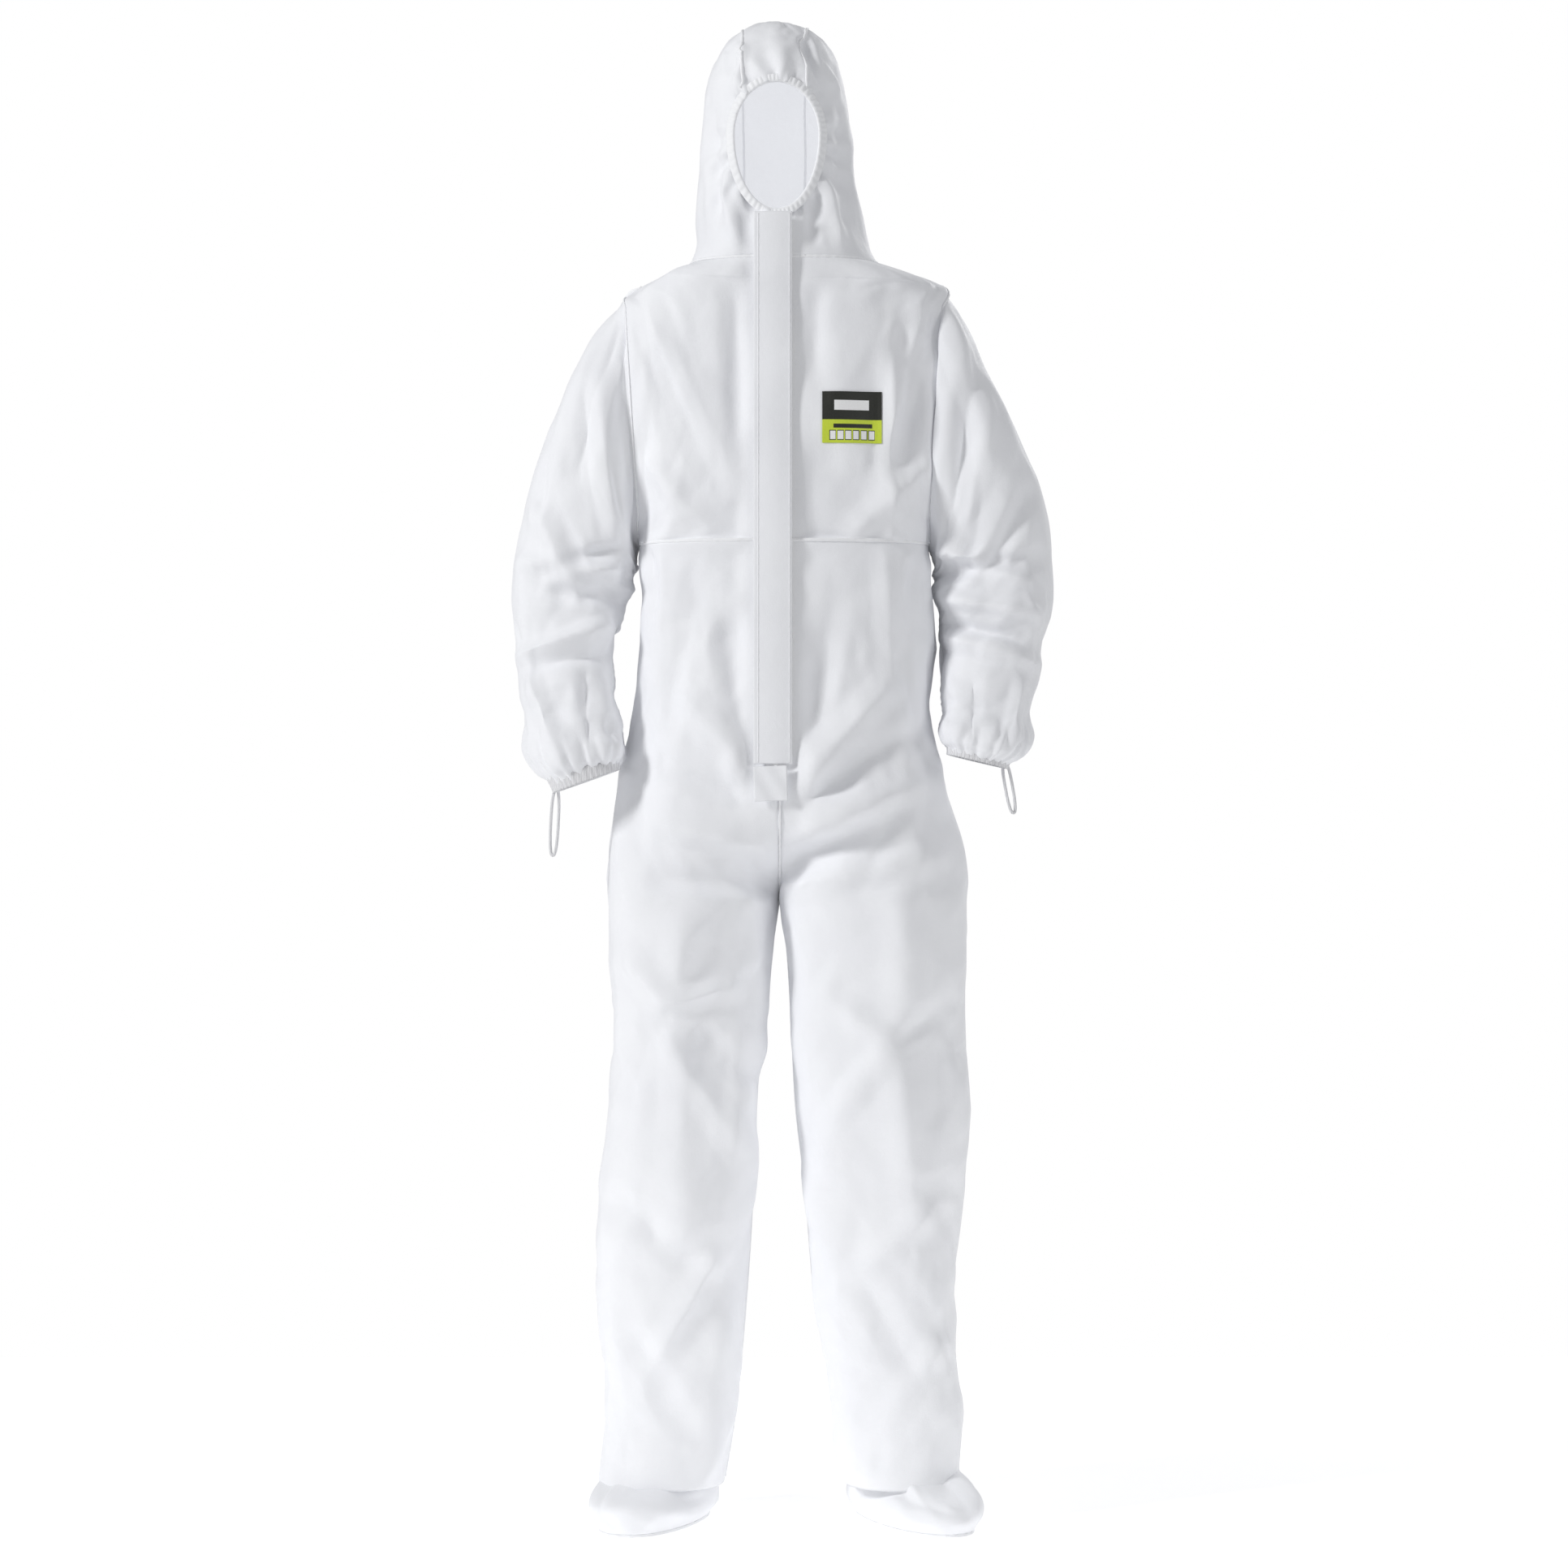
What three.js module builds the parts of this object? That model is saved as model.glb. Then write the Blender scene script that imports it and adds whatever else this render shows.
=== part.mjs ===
// A hooded disposable protective coverall with attached booties, standing as if it were worn.
// Millimetres. +X is the wearer's left, -Y is the front, +Z is up. The origin is the middle of the footprint, on the floor.
import * as THREE from 'three';

// ---- Driving dimensions ----
const SKIN = 2.5; // thickness of every fabric shell
const GAP = 0.4; // clearance between neighbouring pieces
const CENTRE_X = -5; // the centre seam below the zip
const ZIP_X = -10; // the zip's centre line
const CROTCH_Z = 765;
const FORK_Z = 885; // where the two leg halves have become one round trunk
const WAIST_Z = 1198;
const NECK_Z = 1541;
const HOOD_SPLIT_Z = 1602; // below this the hood stays with the collar, above it the hood tips back
const BROW_Z = 1757;
const CROWN_Z = 1842;
const FRONT_LINE = { z: 880, y: -128, slope: 0.034 }; // the straight centre front, which leans back as it rises
const FRONT_TILT = Math.atan(FRONT_LINE.slope);
const KNEE = { z: 620, y: 55, halfAngle: 23 };
const ELBOW = { z: 1120, y: -42, halfAngle: 25.5 };
const SOLE = 3;

const rad = THREE.MathUtils.degToRad;
const lerp = THREE.MathUtils.lerp;
const frontLineY = (z) => FRONT_LINE.y + (z - FRONT_LINE.z) * FRONT_LINE.slope;

// ---- Materials ----
const matte = (color, roughness) => new THREE.MeshStandardMaterial({ color, roughness, metalness: 0 });
const FABRIC = matte(0xf2f3f6, 0.75);
const FABRIC_SHADE = matte(0xe4e5ea, 0.8);
const ELASTIC = matte(0xdcdde2, 0.85);
const ZIP_TAPE = matte(0xe9e9ec, 0.8);
const ZIP_PLASTIC = matte(0xf4f4f4, 0.4);
const ADHESIVE = matte(0xf7f2dc, 0.5);
const BADGE = matte(0x24251f, 0.6);

// ---- Smooth tables ----
// A table's rows are [key, value, value, ...]. The values are read at any key by a cubic through the rows.
function readTable(table, key) {
  const last = table.length - 1;
  let i = 0;
  while (i < last - 1 && key > table[i + 1][0]) i += 1;
  const [p0, p1, p2, p3] = [table[Math.max(i - 1, 0)], table[i], table[i + 1], table[Math.min(i + 2, last)]];
  const span = p2[0] - p1[0];
  const t = THREE.MathUtils.clamp((key - p1[0]) / span, 0, 1);
  return p1.slice(1).map((start, k) => {
    const end = p2[k + 1];
    const slopeIn = ((end - p0[k + 1]) / (p2[0] - p0[0])) * span;
    const slopeOut = ((p3[k + 1] - start) / (p3[0] - p1[0])) * span;
    const cubic = 2 * start - 2 * end + slopeIn + slopeOut;
    const square = -3 * start + 3 * end - 2 * slopeIn - slopeOut;
    return ((cubic * t + square) * t + slopeIn) * t + start;
  });
}

const signedPower = (value, power) => Math.sign(value) * Math.abs(value) ** power;

// ---- Rings ----
// A ring runs from its inner side over the front, the outer side and the back, as turn goes from 0 to 1.
// squareness 2 is an ellipse, and more is nearer a rectangle.
function ringPoint([innerX, innerZ], [outerX, outerZ], [front, back], squareness, turn) {
  const angle = turn * 2 * Math.PI;
  const across = signedPower(Math.cos(angle), 2 / squareness);
  const forward = signedPower(Math.sin(angle), 2 / squareness);
  return new THREE.Vector3(
    (innerX + outerX) / 2 + ((innerX - outerX) / 2) * across,
    (front + back) / 2 - ((back - front) / 2) * forward,
    (innerZ + outerZ) / 2 + ((innerZ - outerZ) / 2) * across,
  );
}

// The turn at which a level ring from the wearer's left (inner) to right (outer) passes a given x, at the front or back.
function turnAtX([left, right], squareness, x, atBack) {
  const across = THREE.MathUtils.clamp((x - (left + right) / 2) / ((left - right) / 2), -1, 1);
  const half = Math.acos(signedPower(across, squareness / 2)) / (2 * Math.PI);
  return atBack ? 1 - half : half;
}

// ---- Trunk and hood: level rings, [z, left x, right x, front y, back y] ----
const TRUNK_SQUARENESS = 2.5;
const TRUNK = [
  [CROTCH_Z, 219, -218, -112, 124],
  [818, 215, -214, -121, 136],
  [866, 205, -206, frontLineY(866), 140],
  [914, 199, -199, frontLineY(914), 138],
  [960, 188, -187, frontLineY(960), 132],
  [1010, 179, -178, frontLineY(1010), 122],
  [1100, 175, -175, frontLineY(1100), 112],
  [WAIST_Z, 178, -178, frontLineY(WAIST_Z), 110],
  [1280, 203, -201, frontLineY(1280), 118],
  [1360, 216, -214, frontLineY(1360), 123],
  [1430, 217, -216, frontLineY(1430), 123],
  [1480, 213, -209, frontLineY(1480), 117],
  [1506, 205, -190, frontLineY(1506), 108],
  [1524, 178, -158, frontLineY(1524), 100],
  [NECK_Z, 116, -115, frontLineY(NECK_Z), 93],
];
const HOOD_SQUARENESS = 2.3;
const HOOD = [
  [NECK_Z, 116, -115, frontLineY(NECK_Z), 93],
  [1562, 103, -110, frontLineY(1562), 98],
  [1600, 95, -110, frontLineY(1600), 112],
  [1650, 86, -108, -101.8, 122],
  [1700, 85, -104, -100, 126],
  [1754, 77, -100, -96, 122],
  [1790, 66, -89, -87, 108],
  [1815, 50, -72, -68, 88],
  [1832, 30, -52, -42, 62],
  [CROWN_Z, -2, -18, -5, 22],
];

function levelRing(table, squareness, turn, z) {
  const [left, right, front, back] = readTable(table, z);
  return ringPoint([left, z], [right, z], [front, back], squareness, turn);
}
const trunkSurface = (turn, z) => levelRing(TRUNK, TRUNK_SQUARENESS, turn, z);
const hoodSurface = (turn, z) => levelRing(HOOD, HOOD_SQUARENESS, turn, z);
const trunkTurn = (x, atBack) => (z) => turnAtX(readTable(TRUNK, z), TRUNK_SQUARENESS, x(z), atBack);
const hoodTurn = (x, atBack) => (z) => turnAtX(readTable(HOOD, z), HOOD_SQUARENESS, x(z), atBack);

// ---- Armholes: straight seams from the shoulder to the armpit ----
const ARMHOLE = { top: 1508, bottom: 1182, topX: 195, bottomX: 175 };
const armholeX = (side, z) => {
  const share = (z - ARMHOLE.bottom) / (ARMHOLE.top - ARMHOLE.bottom);
  return side * lerp(ARMHOLE.bottomX, ARMHOLE.topX, share);
};

// ---- Sleeves: [step, inner x, inner z, outer x, outer z, front y, back y], x as a distance from the middle ----
const SLEEVE_SQUARENESS = 2.3;
const armholeStart = [0, 180.6, 1194, 196, 1502, -76, 76];
const SLEEVES = {
  right: [
    armholeStart,
    [1, 182.5, 1180, 219, 1480, -79, 77],
    [2, 184.5, 1168, 257, 1402, -78, 76],
    [3, 188, 1154, 289, 1322, -76, 75],
    [4, 193, 1138, 313, 1235, -74, 74],
    [5, 201, 1112, 335, 1130, -74, 72],
    [6, 207, 1060, 333, 1062, -84, 60],
    [7, 202, 1000, 325, 1000, -99, 38],
    [8, 199, 955, 309, 946, -112, 8],
    [9, 197, 922, 281, 892, -114, -30],
  ],
  left: [
    armholeStart,
    [1, 182.5, 1180, 221, 1484, -79, 77],
    [2, 184, 1168, 262, 1402, -78, 76],
    [3, 186, 1154, 294, 1318, -76, 75],
    [4, 189, 1138, 322, 1235, -74, 74],
    [5, 192, 1112, 336, 1130, -74, 72],
    [6, 190, 1062, 326, 1066, -82, 62],
    [7, 193, 1008, 311, 1010, -95, 42],
    [8, 196, 970, 296, 962, -107, 14],
    [9, 197, 940, 272, 922, -110, -24],
  ],
};
const sleeveSurface = (name, side) => (turn, step) => {
  const [innerX, innerZ, outerX, outerZ, front, back] = readTable(SLEEVES[name], step);
  return ringPoint([side * innerX, innerZ], [side * outerX, outerZ], [front, back], SLEEVE_SQUARENESS, turn);
};
const CUFF_STEP = 8.62; // where the elastic cuff starts

// ---- Legs: level rings, [z, inner x, outer x, front y, back y], which join the trunk above the crotch ----
const LEG_SQUARENESS = 2.3;
const LEGS = {
  right: [
    [64, -74, -232, -92, 84],
    [130, -60, -228, -84, 78],
    [266, -47, -234, -84, 82],
    [410, -38, -221, -88, 86],
    [506, -35, -213, -92, 88],
    [620, -24, -209, -96, 94],
    [700, -15, -213, -102, 104],
    [CROTCH_Z, -5.4, -217, -108, 118],
  ],
  left: [
    [66, 73, 220, -92, 84],
    [130, 64, 219, -84, 78],
    [266, 39, 213, -84, 82],
    [410, 26, 217, -88, 86],
    [506, 15, 227, -92, 88],
    [620, 9, 224, -96, 94],
    [700, 4, 222, -102, 104],
    [CROTCH_Z, -4.6, 218, -108, 118],
  ],
};

// One side of the trunk, from the centre front around the side to the centre back.
function trunkHalf(side, turn, z) {
  const [left, right, front, back] = readTable(TRUNK, z);
  const seamX = CENTRE_X + side * GAP;
  const reach = (side > 0 ? left : right) - seamX;
  const angle = turn * Math.PI;
  const forward = signedPower(Math.cos(angle), 2 / TRUNK_SQUARENESS);
  const across = Math.abs(Math.sin(angle)) ** (2 / TRUNK_SQUARENESS);
  return new THREE.Vector3(seamX + reach * across, (front + back) / 2 - ((back - front) / 2) * forward, z);
}

const legSurface = (name, side) => (turn, z) => {
  const [inner, outer, front, back] = readTable(LEGS[name], Math.min(z, CROTCH_Z));
  const leg = ringPoint([inner, z], [outer, z], [front, back], LEG_SQUARENESS, turn);
  if (z <= CROTCH_Z) return leg;
  const share = THREE.MathUtils.smoothstep(z, CROTCH_Z, FORK_Z);
  return leg.lerp(trunkHalf(side, turn, z), Math.sqrt(share));
};

// ---- Solids from surfaces ----
// A grid of points, rows by columns, and its copy SKIN further in, joined at the edges into one closed body.
// wrap closes each row on itself, and loop closes the last row on the first.
function solidFromGrids(outer, inner, { wrap = false, loop = false } = {}) {
  const [rows, columns] = [outer.length, outer[0].length];
  const positions = [...outer.flat(), ...inner.flat()].flatMap((p) => [p.x, p.y, p.z]);
  const at = (layer, row, column) => layer * rows * columns + (row % rows) * columns + (column % columns);
  const faces = [];
  const quad = (a, b, c, d) => faces.push(a, b, c, a, c, d);
  const rowSteps = loop ? rows : rows - 1;
  const columnSteps = wrap ? columns : columns - 1;
  for (let r = 0; r < rowSteps; r += 1) {
    for (let c = 0; c < columnSteps; c += 1) {
      quad(at(0, r, c), at(0, r, c + 1), at(0, r + 1, c + 1), at(0, r + 1, c));
      quad(at(1, r, c), at(1, r + 1, c), at(1, r + 1, c + 1), at(1, r, c + 1));
    }
    if (!wrap) {
      quad(at(0, r, 0), at(0, r + 1, 0), at(1, r + 1, 0), at(1, r, 0));
      quad(at(0, r, columns - 1), at(1, r, columns - 1), at(1, r + 1, columns - 1), at(0, r + 1, columns - 1));
    }
  }
  for (let c = 0; c < columnSteps && !loop; c += 1) {
    quad(at(0, 0, c), at(1, 0, c), at(1, 0, c + 1), at(0, 0, c + 1));
    quad(at(0, rows - 1, c), at(0, rows - 1, c + 1), at(1, rows - 1, c + 1), at(1, rows - 1, c));
  }
  const point = (i) => new THREE.Vector3(...positions.slice(3 * i, 3 * i + 3));
  let volume = 0;
  for (let i = 0; i < faces.length; i += 3) {
    volume += point(faces[i]).dot(point(faces[i + 1]).cross(point(faces[i + 2])));
  }
  if (volume < 0) faces.reverse();
  const geometry = new THREE.BufferGeometry();
  geometry.setAttribute('position', new THREE.Float32BufferAttribute(positions, 3));
  geometry.setIndex(faces);
  geometry.computeVertexNormals();
  return geometry;
}

// A shell of a surface between two turns and two levels, each a number or a function of the other coordinate.
// offset moves it out from the surface, and thickness goes in from there.
function shell(surface, turns, levels, { columns = 8, rows = 5, offset = 0, thickness = SKIN, wrap = false } = {}) {
  const value = (bound, other) => (typeof bound === 'function' ? bound(other) : bound);
  const NUDGE = 1e-3;
  const outward = (turn, level, centre) => {
    const alongTurn = surface(turn + NUDGE, level).sub(surface(turn - NUDGE, level));
    const alongLevel = surface(turn, level + NUDGE * 100).sub(surface(turn, level - NUDGE * 100));
    if (alongLevel.lengthSq() < 1e-9) alongLevel.set(0, 0, 1);
    const normal = alongTurn.cross(alongLevel).normalize();
    return normal.dot(surface(turn, level).sub(centre)) < 0 ? normal.negate() : normal;
  };
  const [outer, inner] = [[], []];
  for (let r = 0; r <= rows; r += 1) {
    const [outerRow, innerRow] = [[], []];
    for (let c = 0; c < columns + (wrap ? 0 : 1); c += 1) {
      const across = c / columns;
      const roughLevel = lerp(value(levels[0], across), value(levels[1], across), r / rows);
      const turn = lerp(value(turns[0], roughLevel), value(turns[1], roughLevel), across);
      const level = lerp(value(levels[0], turn), value(levels[1], turn), r / rows);
      const centre = surface(0, level).add(surface(0.5, level)).multiplyScalar(0.5);
      centre.y = surface(0.25, level).add(surface(0.75, level)).y / 2;
      const normal = outward(turn, level, centre);
      const point = surface(turn, level);
      outerRow.push(point.clone().addScaledVector(normal, offset));
      innerRow.push(point.addScaledVector(normal, offset - thickness));
    }
    outer.push(outerRow);
    inner.push(innerRow);
  }
  return solidFromGrids(outer, inner, { wrap });
}

// The level at which a surface, at one turn, reaches the height that target gives for its y.
function levelWhere(surface, turn, target, low, high) {
  let [below, above] = [low, high];
  for (let i = 0; i < 40; i += 1) {
    const middle = (below + above) / 2;
    const point = surface(turn, middle);
    if (point.z > target(point.y)) below = middle;
    else above = middle;
  }
  return (below + above) / 2;
}

// ---- The suit ----
const suit = new THREE.Group();
function add(name, geometry, material, parent = suit) {
  const mesh = new THREE.Mesh(geometry, material);
  mesh.name = name;
  parent.add(mesh);
  return mesh;
}
const box = (width, depth, height) => new THREE.BoxGeometry(width, depth, height);

function addUpperTrunk() {
  const levels = [WAIST_Z + GAP, NECK_Z - GAP];
  const rightEdge = (z) => (Math.abs(armholeX(-1, z)) < -readTable(TRUNK, z)[1] ? armholeX(-1, z) : -999);
  const leftEdge = (z) => (armholeX(1, z) < readTable(TRUNK, z)[0] ? armholeX(1, z) : 999);
  const zipRight = () => ZIP_X - 11;
  const zipLeft = () => ZIP_X + 11;
  const seam = 0.0006; // half of the clearance at the shoulder seam, in turns
  const front = { columns: 7, rows: 12 };
  add('front_left_panel', shell(trunkSurface, [(z) => trunkTurn(leftEdge)(z) + seam, trunkTurn(zipLeft)], levels, front), FABRIC);
  add('front_right_panel', shell(trunkSurface, [trunkTurn(zipRight), (z) => trunkTurn(rightEdge)(z) - seam], levels, front), FABRIC);
  const backTurns = [(z) => trunkTurn(rightEdge, true)(z) + seam, (z) => trunkTurn(leftEdge, true)(z) - seam];
  add('back_panel', shell(trunkSurface, backTurns, levels, { columns: 12, rows: 12 }), FABRIC);
  const elastic = { columns: 14, rows: 1, offset: -SKIN - 4, thickness: 1.5 };
  add('waist_elastic', shell(trunkSurface, [0.53, 0.97], [WAIST_Z - 14, WAIST_Z + 6], elastic), ELASTIC);
  const badge = { columns: 4, rows: 1, offset: 3.4, thickness: 1 };
  const badgeTurns = [trunkTurn(() => 118), trunkTurn(() => 46)];
  add('chest_badge', shell(trunkSurface, badgeTurns, [1315, 1377], badge), BADGE);
  const label = { columns: 2, rows: 1, offset: -SKIN - 4, thickness: 0.8 };
  const labelTurns = [trunkTurn(() => -24, true), trunkTurn(() => 22, true)];
  add('neck_label', shell(trunkSurface, labelTurns, [1508, 1534], label), FABRIC_SHADE);
}

function addSide(name, side) {
  addLowerTrunkAndLeg(name, side);
  addSleeve(name, side);
  addBootie(name, side);
  addFingerLoop(name, side);
}

function addLowerTrunkAndLeg(name, side) {
  const surface = legSurface(name, side);
  const hem = LEGS[name][0][0];
  const seam = 0.0008; // half of the clearance at the side and inner seams, in turns
  const wedge = (turn, z, sign) => z + sign * Math.max(0, surface(turn, z).y - KNEE.y) * Math.tan(rad(KNEE.halfAngle));
  const thighEnd = (turn) => wedge(turn, KNEE.z, 1) + GAP;
  const shinTop = (turn) => wedge(turn, KNEE.z, -1) - GAP;
  const opening = () => seam / 4;
  // Above the fork the halves meet at the zip, so the front panel stops at the zip tape there.
  const frontEdge = (z) => (z > FORK_Z + 10 ? zipTurn(side, z) : opening());
  const halves = { front: [frontEdge, 0.5 - seam], back: [0.5 + seam, 1 - seam] };
  for (const [half, turns] of Object.entries(halves)) {
    const trunkEnd = CROTCH_Z - 2;
    add(`seat_${half}_${name}`, shell(surface, turns, [trunkEnd + GAP, WAIST_Z - GAP], { columns: 8, rows: 14 }), FABRIC);
    add(`thigh_${half}_${name}`, shell(surface, turns, [thighEnd, trunkEnd - GAP], { columns: 8, rows: 3 }), FABRIC);
    add(`shin_${half}_${name}`, shell(surface, turns, [hem, shinTop], { columns: 8, rows: 7 }), FABRIC);
  }
}

// The share of the way around one half of the trunk at which the zip's edge lies.
function zipTurn(side, z) {
  const [left, right] = readTable(TRUNK, z);
  const edge = side > 0 ? ZIP_X + 11 : ZIP_X - 11;
  const reach = (side > 0 ? left : right) - CENTRE_X;
  const across = THREE.MathUtils.clamp((edge - CENTRE_X) / reach, 0, 1);
  return Math.asin(across ** (TRUNK_SQUARENESS / 2)) / Math.PI;
}

function addSleeve(name, side) {
  const surface = sleeveSurface(name, side);
  const seam = 0.0012;
  const cut = (sign) => (y) => ELBOW.z + sign * (Math.max(0, ELBOW.y - y) * Math.tan(rad(ELBOW.halfAngle)) + GAP);
  const upperEnd = (turn) => levelWhere(surface, turn, cut(1), 3, 7);
  const lowerStart = (turn) => levelWhere(surface, turn, cut(-1), 3, 7);
  const halves = { front: [seam, 0.5 - seam], back: [0.5 + seam, 1 - seam] };
  for (const [half, turns] of Object.entries(halves)) {
    add(`upper_sleeve_${half}_${name}`, shell(surface, turns, [0.004, upperEnd], { columns: 8, rows: 8 }), FABRIC);
    add(`lower_sleeve_${half}_${name}`, shell(surface, turns, [lowerStart, CUFF_STEP], { columns: 8, rows: 6 }), FABRIC);
  }
  const cuff = { columns: 20, rows: 2, wrap: true };
  add(`cuff_elastic_${name}`, shell(surface, [0, 1], [CUFF_STEP + 0.04, 9], cuff), ELASTIC);
}

// A narrow band of elastic for the thumb or finger, hanging from the outer end of the cuff.
const LOOPS = {
  right: { x: -277, y: -72, top: 886, length: 70, lean: 3 },
  left: { x: 270, y: -67, top: 919, length: 52, lean: 10 },
};
function addFingerLoop(name, side) {
  const { x, y, top, length, lean } = LOOPS[name];
  const WIDTH = 12;
  const HOLE = 7;
  const DEPTH = 6;
  const stadium = (width, height, path) => {
    const r = width / 2;
    path.moveTo(r, -r);
    path.absarc(0, -r, r, 0, Math.PI, false);
    path.lineTo(-r, r - height);
    path.absarc(0, r - height, r, Math.PI, 2 * Math.PI, false);
    path.lineTo(r, -r);
    return path;
  };
  const outline = stadium(WIDTH, length, new THREE.Shape());
  const hole = stadium(HOLE, length - WIDTH + HOLE, new THREE.Path());
  const wall = (WIDTH - HOLE) / 2;
  const moved = hole.getPoints(5).map((p) => new THREE.Vector2(p.x, p.y - wall));
  outline.holes.push(new THREE.Path(moved));
  const geometry = new THREE.ExtrudeGeometry(outline, { depth: DEPTH, bevelEnabled: false, curveSegments: 5 });
  geometry.rotateX(Math.PI / 2);
  geometry.translate(0, DEPTH / 2, 0);
  const loop = add(`finger_loop_${name}`, geometry, ELASTIC);
  loop.position.set(x, y, top);
  loop.rotation.y = -side * rad(lean);
}

// ---- Booties: level rings of the foot, [z, length, width, forward shift], turned out about the ankle ----
const BOOTIES = {
  right: { x: -158, y: -20, turnOut: 20 },
  left: { x: 160, y: -21, turnOut: 24 },
};
const FOOT = [
  [SOLE + GAP, 236, 108, 0],
  [20, 250, 124, 0],
  [36, 238, 122, -2],
  [50, 188, 112, -16],
  [61, 142, 104, -30],
  [80, 128, 100, -32],
  [150, 118, 98, -30],
];
const FOOT_SQUARENESS = 2.2;
const bootieSurface = (name, side) => (turn, z) => {
  const [length, width, shift] = readTable(FOOT, z);
  const { x, y, turnOut } = BOOTIES[name];
  const angle = turn * 2 * Math.PI;
  const across = side * -(width / 2) * signedPower(Math.cos(angle), 2 / FOOT_SQUARENESS);
  const along = -(length / 2) * signedPower(Math.sin(angle), 2 / FOOT_SQUARENESS) - shift;
  const point = new THREE.Vector3(across, along, 0).applyAxisAngle(new THREE.Vector3(0, 0, 1), side * rad(turnOut));
  return point.add(new THREE.Vector3(x, y, z));
};
function addBootie(name, side) {
  const surface = bootieSurface(name, side);
  const around = { columns: 24, rows: 8, wrap: true };
  add(`bootie_${name}`, shell(surface, [0, 1], [SOLE + GAP, 150], around), FABRIC);
  const band = { columns: 24, rows: 1, wrap: true, offset: 2, thickness: 1.6 };
  add(`ankle_elastic_${name}`, shell(surface, [0, 1], [132, 142], band), ELASTIC);
  const outline = new THREE.Shape();
  const POINTS = 28;
  for (let i = 0; i < POINTS; i += 1) {
    const { x, y } = surface(i / POINTS, SOLE + GAP);
    if (i === 0) outline.moveTo(x, y);
    else outline.lineTo(x, y);
  }
  outline.closePath();
  add(`bootie_sole_${name}`, new THREE.ExtrudeGeometry(outline, { depth: SOLE, bevelEnabled: false }), FABRIC_SHADE);
}

// ---- Hood ----
const STRIP_HALF = 52; // half width of the hood's centre strip and of the face opening's top
const HOOD_X = -9;
function faceHalfWidth(z) {
  const CHIN_HALF = 14;
  const WIDEST_Z = 1690;
  const share = THREE.MathUtils.clamp((WIDEST_Z - z) / (WIDEST_Z - HOOD_SPLIT_Z), 0, 1);
  return CHIN_HALF + (STRIP_HALF - CHIN_HALF) * Math.sqrt(1 - share ** 2);
}

function addHood() {
  const seam = 0.0012;
  const collar = [NECK_Z + GAP, HOOD_SPLIT_Z - GAP];
  const centreBack = hoodTurn(() => HOOD_X, true);
  const collarShape = { columns: 10, rows: 3 };
  const leftTurns = [(z) => centreBack(z) - 1 + seam, hoodTurn(() => ZIP_X + 11)];
  const rightTurns = [hoodTurn(() => ZIP_X - 11), (z) => centreBack(z) - seam];
  add('hood_neck_left', shell(hoodSurface, leftTurns, collar, collarShape), FABRIC);
  add('hood_neck_right', shell(hoodSurface, rightTurns, collar, collarShape), FABRIC);

  const SIDE_TOP_Z = 1816;
  const stripEdge = (sign) => () => HOOD_X + sign * (STRIP_HALF + 0.6);
  const faceEdge = (sign) => (z) => HOOD_X + sign * (z < BROW_Z ? faceHalfWidth(z) + 0.6 : STRIP_HALF + 0.6);
  const sideLevels = [HOOD_SPLIT_Z + GAP, SIDE_TOP_Z];
  const sideShape = { columns: 10, rows: 11 };
  const leftSide = [(z) => hoodTurn(stripEdge(1), true)(z) - 1, hoodTurn(faceEdge(1))];
  const rightSide = [hoodTurn(faceEdge(-1)), hoodTurn(stripEdge(-1), true)];
  add('hood_side_left', shell(hoodSurface, leftSide, sideLevels, sideShape), FABRIC);
  add('hood_side_right', shell(hoodSurface, rightSide, sideLevels, sideShape), FABRIC);
  add('hood_centre_panel', hoodStrip(), FABRIC);
  add('face_elastic', faceElastic(), ELASTIC);
}

// The strip from the brow over the crown to the nape, as a profile swept across its width.
function hoodStrip() {
  const profile = new THREE.CatmullRomCurve3([
    new THREE.Vector3(0, -92, BROW_Z + 2),
    new THREE.Vector3(0, -84, 1792),
    new THREE.Vector3(0, -58, 1822),
    new THREE.Vector3(0, -6, CROWN_Z),
    new THREE.Vector3(0, 52, 1830),
    new THREE.Vector3(0, 96, 1796),
    new THREE.Vector3(0, 117, 1750),
    new THREE.Vector3(0, 124, 1690),
    new THREE.Vector3(0, 114, HOOD_SPLIT_Z + GAP),
  ]);
  const CROWNING = 9; // how much lower the strip's edges lie than its middle
  const [ROWS, COLUMNS] = [16, 6];
  const grids = [0, SKIN].map((depth) =>
    Array.from({ length: ROWS + 1 }, (_, r) => {
      const point = profile.getPointAt(r / ROWS);
      const tangent = profile.getTangentAt(r / ROWS);
      const inward = new THREE.Vector3(0, tangent.z, -tangent.y).normalize();
      return Array.from({ length: COLUMNS + 1 }, (_unused, c) => {
        const across = (2 * c) / COLUMNS - 1;
        const drop = depth + CROWNING * across ** 2;
        return new THREE.Vector3(HOOD_X + across * (STRIP_HALF - SKIN), 0, 0).add(point).addScaledVector(inward, drop);
      });
    }),
  );
  return solidFromGrids(grids[0], grids[1]);
}

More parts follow.
